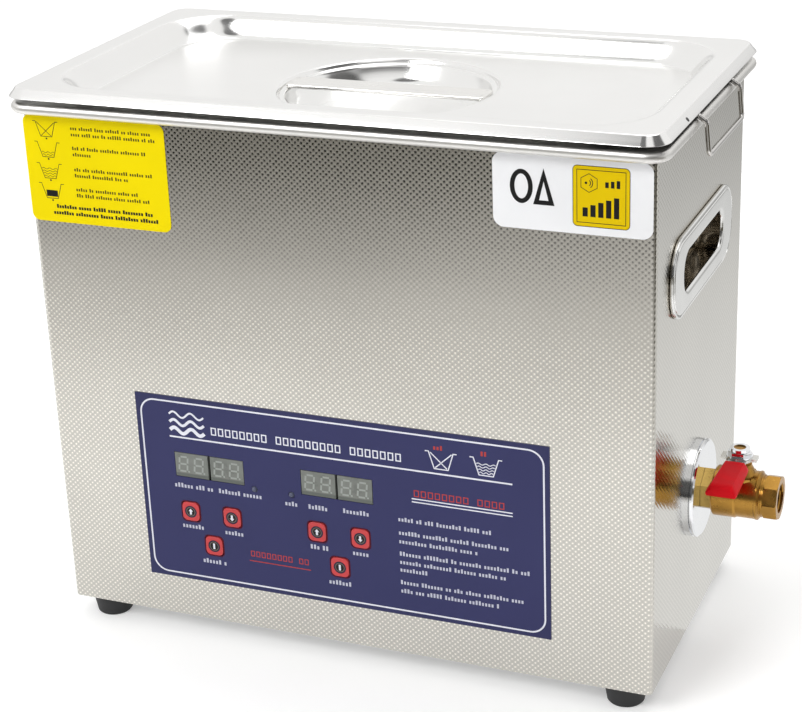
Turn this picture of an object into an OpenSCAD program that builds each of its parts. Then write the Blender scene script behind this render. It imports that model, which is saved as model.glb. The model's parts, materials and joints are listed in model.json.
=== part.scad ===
// Bench-top ultrasonic cleaner with a deep-drawn tank, a hanging basket, a lid and a drain valve.
// Origin: centre of the casing's footprint, on the surface that the feet stand on.
// +X points to the drain valve, -Y to the control panel, +Z up. Millimetres.

/* [Casing] */
// Width of the casing
case_w = 320; // [318:1:324]
// Depth of the casing
case_d = 166; // [165:1:168]
// Height of the feet under the casing
foot_h = 12; // [10:1:14]
// Height of the casing's top edge above the feet's underside
case_top = 281.2; // [281:0.1:281.4]
// Thickness of the casing sheet
sheet = 1; // [0.8:0.1:1.2]

/* [Tank and lid] */
// Outside width of the rolled tank rim
rim_w = 332; // [331:0.2:332.4]
// Outside depth of the rolled tank rim
rim_d = 180; // [179:0.2:181]
// Radius of the rolled rim's section
roll_r = 2.8; // [2.6:0.1:2.8]
// Height of the tank floor inside
tank_floor_z = 137.5; // [136:0.5:140]
// Width of the lid's flat top
lid_w = 324.4; // [324:0.2:325]
// Depth of the lid's flat top
lid_d = 176; // [175.6:0.2:176.4]
// Height of the lid's top surface
lid_top = 293.7; // [293.5:0.1:294]
// Height of the lid skirt's lower edge
skirt_z = 289.1; // [289:0.1:289.4]
// How far the lid skirt slopes outwards
skirt_flare = 3.5; // [3:0.1:3.6]

/* [Basket] */
// Width of the basket
basket_w = 276; // [270:1:276]
// Depth of the basket
basket_d = 134; // [128:1:134]
// Diameter of the hook wire
wire_d = 2.6; // [2.2:0.1:2.6]

/* [Drain valve] */
// Height of the valve's axis
valve_z = 85.5; // [84:0.5:87]
// Distance of the valve stem from the middle of the casing
stem_x = 181.3; // [181:0.1:181.6]
// Radius of the outlet's threaded bore
outlet_r = 7.5; // [7:0.1:7.8]

/* [Control panel] */
// Width of the printed overlay
panel_w = 220.7; // [216:0.1:224]
// Height of the printed overlay
panel_h = 103.6; // [100:0.1:106]
// Width of a key cap
key_w = 9.7; // [9.4:0.1:10.2]

/* [Hidden] */
$fn = 48;
eps = 0.05;                               // overshoot of a cutter past the face it cuts

// Casing and base
half_w = case_w / 2;
half_d = case_d / 2;
front_y = -half_d;                        // outer face of the casing's front
back_y = half_d;
base_t = 1.2;
base_top = foot_h + base_t;
lip_z = base_top + 0.1;                   // the casing's bottom lip lies on the base plate
lip_w = 12;
foot_x = 143.7;
foot_y = 70;
base_screw_places = [for (x = [-90, 0, 90], s = [-1, 1]) [x, s * (half_d - 7)],
    for (s = [-1, 1]) [s * (half_w - 7), 0]];

// Tank: a wide mouth that steps in to the well
roll_x = rim_w / 2 - roll_r;              // middle of the rolled section
roll_y = rim_d / 2 - roll_r;
roll_z = 283.55;
flange_top = roll_z + roll_r - 0.25;
rim_corner = 11;
mouth = [303, 159, 28];                   // width, depth, corner radius
well = [288, 148, 25];
step_z = 264;
drain_x = 118;

// Lid pressing
lid_t = 0.8;
lid_corner = 8;
recess_top = [302, 156, 31];
recess_floor = [284, 146, 28];
recess_z = 282.3;
dish_r = 57;

// Basket
basket_z0 = 147;
basket_z1 = 262;
hook_y = 32;

// Side grips
grip_y = -4;
grip_z = 213.5;
grip_out = [113, 39.5, 17];
grip_in = [75, 19.5, 8.5];
grip_proud = 2.5;
cup_floor_x = 148;

// Drain line
pipe_r = 8.3;
thread_gap = 0.05;
bore_r = 5.5;
nipple_hex = 19.6 / 2 / cos(30);
end_octagon = 21.2 / 2 / cos(22.5);
body_x0 = 169.5;
body_x1 = 194;
chamber_x0 = 173.4;
neck_x1 = 195.2;
outlet_x = 202.3;
ball_r = 7.3;
stem_r = 3;

// Control panel, heights measured from the feet's underside
panel_x = -0.65;
panel_z = 85.9;
overlay_t = 0.5;
face_y = front_y - overlay_t;             // outer face of the overlay
key_h = 10.5;
key_proud = 0.5;
key_temp_up_at = [-84.1, 74];
key_temp_down_at = [-60.5, 74];
key_heat_at = [-72.1, 56];
key_time_up_at = [-13, 73.6];
key_time_down_at = [10.6, 73.6];
key_wash_at = [-1.4, 55.5];
key_places = [key_temp_up_at, key_temp_down_at, key_heat_at,
    key_time_up_at, key_time_down_at, key_wash_at];
display_x = [-81.55, -61.6, -11, 8.8];
display_z = 100.3;
display_size = [18.5, 13.2];
led_places = [[-46.6, 92.3], [-26.1, 92.3]];
board_y = -71.6;                          // front face of the control board
board_at = [-36, 78];
board_size = [132, 76];

// Sound heads under the tank
horn_places = [[-100, -20], [-25, 20], [50, -20]];
horn_h = 30;
ring_h = 5;
ring_r = 19;
gap_h = 0.6;
mass_h = 15;
tank_under = tank_floor_z - 1;
rings_z = tank_under - horn_h;
mass_z = rings_z - 2 * ring_h - 2 * gap_h;

// Power parts
board_z = 24;
generator_at = [-60, 4];
generator_size = [140, 84];
fan_at = [-100, 72];
fan_size = 60;
inlet_at = [104, 52];
switch_at = [64, 52];
sink_at = [-95, -14];
coil_at = [-28, 20];
capacitor_places = [[-44, -26], [-22, -26], [0, -26]];

// ---------- outlines and solids that repeat ----------

module rounded_rect(w, d, r) {
    square([w - 2 * r, d], center = true);
    square([w, d - 2 * r], center = true);
    for (sx = [-1, 1], sy = [-1, 1])
        translate([sx * (w / 2 - r), sy * (d / 2 - r)]) circle(r = r);
}

// A level plate of one outline, grown by g on every side
module plate(outline, z0, z1, g = 0) {
    translate([0, 0, z0]) linear_extrude(height = z1 - z0)
        rounded_rect(outline[0] + 2 * g, outline[1] + 2 * g, outline[2] + g);
}

// Stands a drawing on the front at x, z, its thickness growing towards the user
module on_front(at, y) {
    translate([at[0], y, at[1]]) rotate([90, 0, 0]) children();
}

// Stands a drawing on the back at x, z, its thickness growing away from the user
module on_back(at, y) {
    translate([at[0], y, at[1]]) rotate([90, 0, 180]) children();
}

// Turns an upright solid so that its axis lies along +X
module along_x(x, z = valve_z) {
    translate([x, 0, z]) rotate([0, 90, 0]) children();
}

module tube(r_out, r_in, h) {
    difference() {
        cylinder(r = r_out, h = h);
        translate([0, 0, -eps]) cylinder(r = r_in, h = h + 2 * eps);
    }
}

module hex_ring(across_r, r_in, h) {
    difference() {
        cylinder(r = across_r, h = h, $fn = 6);
        translate([0, 0, -eps]) cylinder(r = r_in, h = h + 2 * eps);
    }
}

// A pan-head screw that points up, its head's upper face at z = 0
module pan_screw(shank_r, shank_h, head_r, head_h) {
    translate([0, 0, -head_h]) cylinder(r = head_r, h = head_h);
    cylinder(r = shank_r, h = shank_h);
}

// ---------- wires and cables ----------

function unit(v) = v / norm(v);
function heading(p, i) =
    i == 0 ? unit(p[1] - p[0])
    : i == len(p) - 1 ? unit(p[i] - p[i - 1])
    : unit(unit(p[i] - p[i - 1]) + unit(p[i + 1] - p[i]));
// Side directions carried along the path without twist
function side_dirs(p, n, i = 0) =
    let (t = heading(p, i), m = unit(n - (n * t) * t))
    i == len(p) - 1 ? [m] : concat([m], side_dirs(p, m, i + 1));
// Points of an arc of radius r that rounds the corner b between a and c
function bend(a, b, c, r, n) =
    let (u = unit(a - b), v = unit(c - b), half = acos(u * v) / 2,
         mid = b + unit(u + v) * r / sin(half),
         e0 = b + u * r / tan(half) - mid, e1 = b + v * r / tan(half) - mid, turn = 180 - 2 * half)
    [for (k = [0:n]) mid + (sin((1 - k / n) * turn) * e0 + sin(k / n * turn) * e1) / sin(turn)];
function rounded_path(p, r, n) =
    concat([p[0]], [for (i = [1:len(p) - 2]) each bend(p[i - 1], p[i], p[i + 1], r, n)], [p[len(p) - 1]]);

// A round wire swept along the path p; first_side is any direction across its first stretch
module wire(p, d, first_side, sides = 10) {
    dirs = side_dirs(p, first_side);
    n = len(p);
    points = [for (i = [0:n - 1], k = [0:sides - 1])
        p[i] + d / 2 * (cos(360 * k / sides) * dirs[i]
            + sin(360 * k / sides) * cross(heading(p, i), dirs[i]))];
    skin = [for (i = [0:n - 2], k = [0:sides - 1])
        [i * sides + k, (i + 1) * sides + k, (i + 1) * sides + (k + 1) % sides, i * sides + (k + 1) % sides]];
    first_cap = [for (k = [0:sides - 1]) k];
    last_cap = [for (k = [sides - 1:-1:0]) (n - 1) * sides + k];
    polyhedron(points, concat([first_cap], skin, [last_cap]), convexity = 6);
}

// ---------- casing, base and feet ----------

module casing() {
    color("#b9b6ac") difference() {
        plate([case_w, case_d, 3], foot_h, case_top);
        plate([case_w, case_d, 3], lip_z + sheet, case_top - sheet, -sheet);
        plate([case_w, case_d, 3], foot_h - 1, lip_z, -sheet);
        plate([case_w - 2 * lip_w, case_d - 2 * lip_w, 3], foot_h, lip_z + 2);
        plate([307, 161.6, 24], case_top - 2, case_top + 1);
        casing_front_holes();
        casing_side_holes();
        casing_back_holes();
        for (p = base_screw_places) translate([p[0], p[1], foot_h]) cylinder(r = 2.1, h = 5);
        for (sx = [-1, 1], sy = [-1, 1]) translate([sx * foot_x, sy * foot_y, foot_h])
            cylinder(r = 2.3, h = 5);
    }
}

// Openings for keys, displays and lamps, cut g wider than the pieces
module panel_holes(h, g) {
    for (p = key_places) translate(p) linear_extrude(height = h)
        rounded_rect(key_w + 2 * g, key_h + 2 * g, 2 + g);
    for (s = [0, 2]) translate([(display_x[s] + display_x[s + 1]) / 2, display_z, 0])
        linear_extrude(height = h) square([39, display_size[1] + 0.6], center = true);
    for (p = led_places) translate(p) cylinder(r = 1.7, h = h);
}

module casing_front_holes() {
    on_front([0, 0], front_y + sheet + 1) panel_holes(4, 0.45);
}

module casing_side_holes() {
    for (s = [-1, 1]) translate([s * half_w, grip_y, grip_z]) rotate([90, 0, 90])
        translate([0, 0, -3]) linear_extrude(height = 6)
            rounded_rect(grip_in[0] + 3, grip_in[1] + 3, grip_in[2] + 1.5);
    along_x(half_w - 3) cylinder(r = 8.8, h = 6);
}

module casing_back_holes() {
    on_back(fan_at, back_y - 3) {
        for (r = [8, 16, 24], a = [0:30:330]) rotate([0, 0, a + r])
            translate([r, 0, 0]) cylinder(r = r / 8 + 0.9, h = 6);
        for (sx = [-1, 1], sy = [-1, 1]) translate([sx * 25, sy * 25, 0]) cylinder(r = 2, h = 6);
    }
    on_back(inlet_at, back_y - 3) {
        linear_extrude(height = 6) square([28, 20.4], center = true);
        for (s = [-1, 1]) translate([s * 20, 0, 0]) cylinder(r = 1.7, h = 6);
    }
    on_back(switch_at, back_y - 3) linear_extrude(height = 6) square([14.4, 28.4], center = true);
}

module base_plate() {
    color("#a9a9a6") difference() {
        plate([case_w - 2 * sheet - 0.4, case_d - 2 * sheet - 0.4, 2], foot_h, base_top);
        for (p = base_screw_places) translate([p[0], p[1], foot_h - 1]) cylinder(r = 2.1, h = 5);
        for (sx = [-1, 1], sy = [-1, 1]) translate([sx * foot_x, sy * foot_y, foot_h - 1])
            cylinder(r = 2.3, h = 5);
        for (x = [20:10:110], s = [-1, 1]) translate([x, s * 30, foot_h - 1])
            linear_extrude(height = 4) rounded_rect(4, 36, 1.9);
    }
}

module base_screws() {
    color("#8f8f8f") for (p = base_screw_places) translate([p[0], p[1], foot_h])
        pan_screw(2, 4, 3.6, 2);
}

module feet() {
    color("#1c1c1c") for (sx = [-1, 1], sy = [-1, 1]) translate([sx * foot_x, sy * foot_y, 0])
        rotate_extrude() polygon([[4.8, 0], [8.6, 0], [9.3, 0.8], [11, foot_h - 1], [10.6, foot_h],
            [2.3, foot_h], [2.3, 5.5], [4.8, 5.5]]);
}

module foot_screws() {
    color("#8f8f8f") for (sx = [-1, 1], sy = [-1, 1]) translate([sx * foot_x, sy * foot_y, 5.5])
        pan_screw(2, 11, 4.2, 2.6);
}

// ---------- tank ----------

module rolled_edge() {
    cx = roll_x - rim_corner + roll_r;
    cy = roll_y - rim_corner + roll_r;
    for (s = [-1, 1]) {
        translate([-cx, s * roll_y, roll_z]) rotate([0, 90, 0]) cylinder(r = roll_r, h = 2 * cx);
        translate([s * roll_x, cy, roll_z]) rotate([90, 0, 0]) cylinder(r = roll_r, h = 2 * cy);
    }
    for (q = [[1, 1, 0], [-1, 1, 90], [-1, -1, 180], [1, -1, 270]])
        translate([q[0] * cx, q[1] * cy, roll_z]) rotate([0, 0, q[2]]) rotate_extrude(angle = 90)
            translate([rim_corner - roll_r, 0]) circle(r = roll_r, $fn = 24);
}

module tank() {
    color("#c9c9c6") difference() {
        union() {
            rolled_edge();
            plate([2 * roll_x, 2 * roll_y, rim_corner - roll_r], flange_top - 1, flange_top);
            plate(mouth, step_z - 1, flange_top - 0.5, 1);
            plate(well, tank_under, step_z - 0.5, 1);
        }
        plate(mouth, step_z, flange_top + 5);
        plate(well, tank_floor_z, step_z + 1);
        translate([drain_x, 0, tank_under - 1]) cylinder(r = pipe_r + 0.2, h = 3);
    }
}

module tank_seal() {
    color("#4a4a4a") difference() {
        plate([314, 165.6, 25], case_top, flange_top - 1);
        plate([308, 161.4, 24], case_top - 1, flange_top);
    }
}

// ---------- lid ----------

module lid() {
    color("#dcdcda") {
        difference() {
            union() {
                lid_shell();
                hull() {
                    plate(recess_top, lid_top - 0.02, lid_top, 0.9);
                    plate(recess_floor, recess_z - lid_t, recess_z - lid_t + 0.02, 0.9);
                }
            }
            hull() {
                plate(recess_top, lid_top, lid_top + 0.02);
                plate(recess_floor, recess_z, recess_z + 0.02);
            }
            translate([0, 0, recess_z - 3]) cylinder(r = dish_r - 1, h = 6);
        }
        lid_dish();
    }
}

// Flat border and turned-down skirt
module lid_shell() {
    difference() {
        flared(lid_top, skirt_z, 0);
        flared(lid_top - lid_t, skirt_z, -lid_t);
        plate(recess_top, skirt_z, lid_top + 1);
    }
}

// Solid that widens by the skirt's slope from its top down to its foot
module flared(top, foot, grow) {
    hull() {
        plate([lid_w, lid_d, lid_corner], top - 0.02, top, grow);
        plate([lid_w, lid_d, lid_corner], foot, foot + 0.02, skirt_flare + grow);
    }
}

// Round dish in the middle: a ledge that carries the handle bar, then a bowl for the fingers
module lid_dish() {
    upper = [[dish_r, 282.3], [54.8, 282.1], [54, 279.9], [51.3, 279.9], [50, 277.2], [46.5, 271.5],
        [39, 267.3], [27, 264.8], [12, 263.4], [0, 263]];
    under = [[0, 262.2], [12.1, 262.6], [27.3, 264], [39.5, 266.6], [47.1, 270.9], [50.7, 276.7],
        [51.8, 279.1], [54.8, 279.1], [55.6, 281.5], [dish_r, 281.5]];
    rotate_extrude($fn = 64) polygon(concat(upper, under));
}

module lid_handle() {
    color("#d2d2d0") translate([0, 0, 279.9]) linear_extrude(height = 2)
        rounded_rect(106, 16, 1.5);
}

// ---------- basket ----------

module basket() {
    color("#c4c4c2") difference() {
        plate([basket_w, basket_d, 18], basket_z0, basket_z1);
        plate([basket_w, basket_d, 18], basket_z0 + 1.2, basket_z1 + 1, -1.2);
    }
}

// Wire hook: up the basket's end, over the rolled rim and down to a hand loop
module basket_hook() {
    rise = basket_w / 2 + wire_d / 2 + 0.1;
    over = roll_z + roll_r + 0.2 + wire_d / 2;
    half_loop = [[rise, hook_y, 225], [rise, hook_y, 260], [149.4, hook_y, 280.5],
        [149.4, hook_y, over], [164.6, hook_y, over], [168.9, hook_y, 284.9], [170.3, hook_y, 269.6]];
    corners = concat(half_loop, [for (i = [len(half_loop) - 1:-1:0])
        [half_loop[i][0], -hook_y, half_loop[i][2]]]);
    color("#cfcfcd") wire(rounded_path(corners, 2.5, 5), wire_d, [0, 1, 0]);
}

module basket_hook_left() { mirror([1, 0, 0]) basket_hook(); }

module basket_hook_right() { basket_hook(); }

// ---------- side grips ----------

module side_grip() {
    color("#d8d8d6") translate([0, grip_y, grip_z]) rotate([90, 0, 90]) difference() {
        union() {
            translate([0, 0, half_w]) linear_extrude(height = grip_proud - 0.6)
                rounded_rect(grip_out[0], grip_out[1], grip_out[2]);
            translate([0, 0, half_w]) linear_extrude(height = grip_proud)
                rounded_rect(grip_out[0] - 2, grip_out[1] - 2, grip_out[2] - 1);
            translate([0, 0, cup_floor_x - 1]) linear_extrude(height = half_w - cup_floor_x + 2)
                rounded_rect(grip_in[0] + 2, grip_in[1] + 2, grip_in[2] + 1);
        }
        translate([0, 0, cup_floor_x]) linear_extrude(height = 20)
            rounded_rect(grip_in[0], grip_in[1], grip_in[2]);
    }
}

module side_grip_left() { mirror([1, 0, 0]) side_grip(); }

module side_grip_right() { side_grip(); }

// ---------- drain line ----------

module drain_outlet() {
    color("#c0c0bc") translate([drain_x, 0, 0]) {
        translate([0, 0, 101]) tube(pipe_r, bore_r, 40);
        translate([0, 0, tank_floor_z + 1]) difference() {
            cylinder(r1 = 15, r2 = 13.5, h = 2);
            translate([0, 0, -1]) cylinder(r = bore_r, h = 4);
        }
    }
}

module drain_gasket() {
    color("#2b2b2b") translate([drain_x, 0, tank_floor_z]) tube(14, pipe_r + thread_gap, 1);
}

module pipe_locknuts() {
    color("#b08a3c") {
        translate([drain_x, 0, tank_under - 6]) hex_ring(14, pipe_r + thread_gap, 6);
        along_x(half_w - sheet - 6) hex_ring(14, pipe_r + thread_gap, 6);
    }
}

module drain_elbow() {
    color("#b08a3c") difference() {
        union() {
            translate([drain_x, 0, valve_z - 12]) cylinder(r = 13, h = 36);
            along_x(drain_x) cylinder(r = 12.2, h = 31);
        }
        translate([drain_x, 0, valve_z - 5]) cylinder(r = 6.4, h = 40);
        along_x(drain_x) cylinder(r = 6, h = 40);
        translate([drain_x, 0, 100.9]) cylinder(r = pipe_r + thread_gap, h = 20);
        along_x(137.9) cylinder(r = pipe_r + thread_gap, h = 20);
    }
}

module hex_nipple() {
    color("#8d6f28") difference() {
        union() {
            along_x(138) cylinder(r = pipe_r, h = 28);
            along_x(164.1) cylinder(r = nipple_hex, h = body_x0 - 164.1, $fn = 6);
            along_x(165) cylinder(r = 8, h = chamber_x0 - 1.1 - 165);
        }
        along_x(137) cylinder(r = bore_r, h = 40);
    }
}

module escutcheon() {
    color("#dfe2e6") along_x(half_w) rotate_extrude($fn = 72)
        polygon([[9, 0], [25, 0], [25, 1.7], [24.2, 1.95], [24.2, 2.25], [25, 2.5], [24.9, 3.3],
            [24, 4], [9, 4]]);
}

// ---------- drain valve ----------

module valve_body() {
    color("#b8862f") difference() {
        union() {
            along_x(body_x0) rotate_extrude() polygon([[0, 0], [12, 0], [12.7, 0.8], [12.7, 11.4],
                [12.1, 12.5], [12.1, 21.6], [12.4, 22], [12.4, 22.8], [10.8, 23.9],
                [10.8, body_x1 - body_x0], [0, body_x1 - body_x0]]);
            translate([stem_x, 0, valve_z]) cylinder(r = 9.6, h = 11, $fn = 8);
            translate([stem_x, 0, valve_z]) rotate_extrude() polygon([[0, 9], [9, 9], [8.4, 11.6],
                [6.4, 15.2], [6, 16.7], [0, 16.7]]);
        }
        along_x(chamber_x0) cylinder(r = 8.8, h = 30);
        along_x(body_x0 - 1) cylinder(r = bore_r, h = 10);
        along_x(body_x0 - 1) cylinder(r = 8 + thread_gap, h = chamber_x0 - 1 - body_x0 + 1);
        translate([stem_x, 0, valve_z]) cylinder(r = stem_r + thread_gap, h = 30);
    }
}

module valve_end_cap() {
    color("#b8862f") difference() {
        union() {
            along_x(189.2) cylinder(r = 8.7, h = 6);
            along_x(body_x1) cylinder(r = 10.4, h = 2);
            intersection() {
                along_x(neck_x1) cylinder(r = end_octagon, h = outlet_x - neck_x1, $fn = 8);
                along_x(neck_x1) rotate_extrude() polygon([[0, 0], [10.9, 0], [11.7, 0.8],
                    [11.7, 6.3], [10.9, outlet_x - neck_x1], [0, outlet_x - neck_x1]]);
            }
        }
        along_x(188) cylinder(r = bore_r, h = 20);
        along_x(outlet_x - 9) cylinder(r = outlet_r, h = 10);
    }
}

module valve_seats() {
    color("#f2f2ee") difference() {
        union() {
            along_x(chamber_x0) tube(8.7, bore_r, 3.4);
            along_x(2 * stem_x - chamber_x0 - 3.4) tube(8.7, bore_r, 3.4);
        }
        translate([stem_x, 0, valve_z]) sphere(r = ball_r + 0.15);
    }
}

// Closed at rest: the ball's bore lies across the pipe
module valve_ball() {
    color("#d9dbde") difference() {
        translate([stem_x, 0, valve_z]) sphere(r = ball_r);
        translate([stem_x, 20, valve_z]) rotate([90, 0, 0]) cylinder(r = 4.6, h = 40);
        translate([stem_x - 1.3, -10, valve_z + 5.2]) cube([2.6, 20, 5]);
    }
}

module valve_stem() {
    color("#a9802f") translate([stem_x, 0, valve_z]) {
        translate([0, 0, 7.6]) cylinder(r = stem_r, h = 16.8);
        translate([-1.2, -2, 5.6]) cube([2.4, 4, 2.4]);
    }
}

module gland_nut() {
    color("#a9802f") translate([stem_x, 0, valve_z + 16.8])
        hex_ring(6.3, stem_r + thread_gap, 1.9);
}

module valve_lever() {
    color("#c9c9c6") translate([stem_x, 0, valve_z + 18.9]) difference() {
        linear_extrude(height = 1.5) {
            circle(r = 7);
            square([18, 5.6], center = true);
            translate([-4.5, -39]) square([9, 39]);
        }
        translate([0, 0, -1]) cylinder(r = stem_r + thread_gap, h = 4);
    }
}

// Dipped sleeve with a flat top and sloping flanks, hollow round the lever plate
module lever_sleeve() {
    z0 = valve_z + 16.6;
    half = 6.6;
    color("#c8202c") difference() {
        translate([stem_x, -8.5, z0]) rotate([90, 0, 0]) linear_extrude(height = 32, scale = [1.16, 1])
            polygon([[-half, 0], [half, 0], [half, 1.9], [4.5, 5.3], [-4.5, 5.3], [-half, 1.9]]);
        translate([stem_x - 4.5, -39, valve_z + 18.9]) cube([9, 40, 1.5]);
        translate([stem_x - 5.4, -39.5, z0 - 1]) cube([10.8, 40, 2.4]);
    }
}

module lever_nut() {
    color("#d5d7da") translate([stem_x, 0, valve_z + 20.4]) {
        hex_ring(5.9, stem_r + thread_gap, 2.9);
        tube(6.6, stem_r + thread_gap, 0.8);
        translate([0, 0, 2.8]) tube(4.9, stem_r + thread_gap, 1.9);
    }
}

// ---------- control panel ----------

module panel_overlay() {
    color("#3c3e62") difference() {
        on_front([panel_x, panel_z], front_y) linear_extrude(height = overlay_t)
            square([panel_w, panel_h], center = true);
        on_front([0, 0], front_y + 1) panel_holes(3, 0.35);
    }
}

// A key: the cap, a collar that holds it behind the casing, and the stem that works its switch
module key(at) {
    color("#e1413c") {
        on_front(at, front_y + sheet + 0.1) linear_extrude(height = sheet + 0.1 + overlay_t + key_proud)
            rounded_rect(key_w, key_h, 2);
        on_front(at, front_y + sheet + 1.2) linear_extrude(height = 1.1)
            rounded_rect(key_w + 3, key_h + 3, 3);
        on_front(at, front_y + sheet + 5.4) cylinder(r = 2, h = 4.3);
    }
}

module key_temp_up() { key(key_temp_up_at); }

module key_temp_down() { key(key_temp_down_at); }

module key_heat() { key(key_heat_at); }

module key_time_up() { key(key_time_up_at); }

module key_time_down() { key(key_time_down_at); }

module key_wash() { key(key_wash_at); }

module display_modules() {
    color("#8f9a90") for (x = display_x) on_front([x, display_z], board_y)
        linear_extrude(height = board_y - face_y) square(display_size, center = true);
}

module indicator_leds() {
    color("#b9c0b4") for (p = led_places) on_front(p, board_y) {
        for (s = [-1, 1]) translate([s * 0.9, 0, 0]) cylinder(r = 0.25, h = 6.5);
        translate([0, 0, 6.4]) cylinder(r = 1.9, h = 1);
        translate([0, 0, 7]) cylinder(r = 1.5, h = 4.6);
        translate([0, 0, 11.6]) sphere(r = 1.5);
    }
}

module control_board() {
    color("#2f6b3f") difference() {
        on_front(board_at, board_y + 1.6) linear_extrude(height = 1.6)
            rounded_rect(board_size[0], board_size[1], 2);
        for (p = standoff_places()) on_front(p, board_y + 3) cylinder(r = 1.6, h = 5);
    }
}

function standoff_places() = [for (sx = [-1, 1], sz = [-1, 1])
    [board_at[0] + sx * (board_size[0] / 2 - 5), board_at[1] + sz * (board_size[1] / 2 - 5)]];

module board_standoffs() {
    length = board_y - front_y - sheet;
    color("#c8b26a") {
        for (p = standoff_places()) on_front(p, board_y) {
            cylinder(r = 2.6, h = length, $fn = 6);
            translate([0, 0, -3]) cylinder(r = 1.5, h = 4);
        }
        for (sx = [-1, 1], sy = [-1, 1]) translate([generator_at[0] + sx * 64, generator_at[1] + sy * 36,
            base_top]) cylinder(r = 2.6, h = board_z - base_top, $fn = 6);
    }
}

module tact_switches() {
    color("#262626") for (p = key_places) on_front(p, board_y) {
        linear_extrude(height = 3.5) square(6, center = true);
        cylinder(r = 1.7, h = 4.3);
    }
}

// ---------- sound heads, heaters and sensor ----------

module at_horns(z) {
    for (p = horn_places) translate([p[0], p[1], z]) children();
}

module transducer_horns() {
    color("#c7cacd") at_horns(rings_z) difference() {
        rotate_extrude() polygon([[0, 0], [ring_r, 0], [ring_r, 6], [24, 22], [24, horn_h], [0, horn_h]]);
        translate([0, 0, -1]) cylinder(r = 5.05, h = 19);
    }
}

module piezo_rings() {
    color("#5c5348") at_horns(mass_z + gap_h) {
        tube(ring_r, 7.5, ring_h);
        translate([0, 0, ring_h + gap_h]) tube(ring_r, 7.5, ring_h);
    }
}

module transducer_electrodes() {
    color("#c0763a") at_horns(mass_z) for (z = [0, ring_h + gap_h]) translate([0, 0, z]) {
        tube(ring_r, 7.5, gap_h);
        translate([0, 0, gap_h / 2]) difference() {
            translate([ring_r - 1, -2.5, -gap_h / 2]) cube([8, 5, gap_h]);
            translate([ring_r + 4.5, 0, -1]) cylinder(r = 1.2, h = 2);
        }
    }
}

module transducer_back_masses() {
    color("#8b8f94") at_horns(mass_z - mass_h) tube(ring_r, 5.4, mass_h);
}

module transducer_bolts() {
    color("#55585c") at_horns(mass_z - mass_h) {
        translate([0, 0, -7]) cylinder(r = 8, h = 7);
        cylinder(r = 5, h = mass_h + 2 * (ring_h + gap_h) + 17);
    }
}

module heater_pads() {
    color("#b8552e") for (s = [-1, 1]) translate([-100, s * (well[1] / 2 + 2) - 1, 152])
        cube([170, 2, 60]);
}

module temperature_sensor() {
    color("#b9bcc0") translate([well[0] / 2 + 1 - 260, well[1] / 2 + 4, 145]) rotate([0, 90, 0]) {
        cylinder(r = 2.9, h = 26);
        translate([0, 0, 26]) cylinder(r = 1.5, h = 8);
    }
}

// ---------- power parts ----------

module generator_board() {
    color("#3b6f45") difference() {
        translate([generator_at[0], generator_at[1], board_z]) linear_extrude(height = 1.6)
            rounded_rect(generator_size[0], generator_size[1], 3);
        for (sx = [-1, 1], sy = [-1, 1]) translate([generator_at[0] + sx * 64, generator_at[1] + sy * 36,
            board_z - 1]) cylinder(r = 1.6, h = 4);
    }
}

module heat_sink() {
    fins = 9;
    color("#9aa0a6") translate([sink_at[0], sink_at[1], board_z + 1.6]) {
        translate([-25, -16, 0]) cube([50, 32, 5]);
        for (i = [0:fins - 1]) translate([-25, -16 + i * 30 / (fins - 1), 4.5]) cube([50, 2, 26]);
    }
}

module output_transformer() {
    color("#a06a32") translate([coil_at[0], coil_at[1], board_z + 1.6 + 10])
        rotate_extrude() translate([15, 0]) circle(r = 9.9, $fn = 32);
}

module capacitors() {
    color("#2f3f66") for (p = capacitor_places) translate([p[0], p[1], board_z + 1.6]) {
        cylinder(r = 9, h = 30);
        cylinder(r = 9.5, h = 2);
    }
}

module fan_frame() {
    color("#2a2a2a") difference() {
        on_front(fan_at, back_y - sheet) linear_extrude(height = 15) rounded_rect(fan_size, fan_size, 4);
        on_front(fan_at, back_y) {
            difference() {
                cylinder(r = 28.5, h = 20);
                difference() {
                    cylinder(r = 12, h = 4);
                    cylinder(r = 1.5 + thread_gap, h = 5);
                }
                for (a = [45, 135]) rotate([0, 0, a]) for (x = [-30, 8])
                    translate([x, -1.5, 0]) cube([22, 3, 3.5]);
            }
            for (sx = [-1, 1], sy = [-1, 1]) translate([sx * 25, sy * 25, -1]) cylinder(r = 2.1, h = 20);
        }
    }
}

module fan_rotor() {
    blades = 7;
    color("#1f1f1f") on_front(fan_at, back_y - sheet - 3.6) {
        cylinder(r = 12, h = 10.5);
        translate([0, 0, -3]) cylinder(r = 1.5, h = 4);
        for (k = [0:blades - 1]) rotate([0, 0, 360 * k / blades]) translate([11.5, 0, 5.2])
            rotate([35, 0, 0]) translate([0, -6, -0.7]) cube([15.5, 12, 1.4]);
    }
}

module fan_guard() {
    color("#cdd0d3") on_back(fan_at, back_y) {
        for (r = [10, 18, 26]) translate([0, 0, 2.6]) rotate_extrude()
            translate([r, 0]) circle(r = 0.8, $fn = 16);
        for (a = [45, 135]) rotate([0, 0, a]) translate([-35.4, -0.9, 1.5]) cube([70.8, 1.8, 1]);
        for (sx = [-1, 1], sy = [-1, 1]) translate([sx * 25, sy * 25, 0]) {
            tube(3.6, 1.9, 1.6);
            translate([0, 0, 1.6]) cylinder(r = 3.2, h = 1.8);
        }
    }
}

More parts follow.
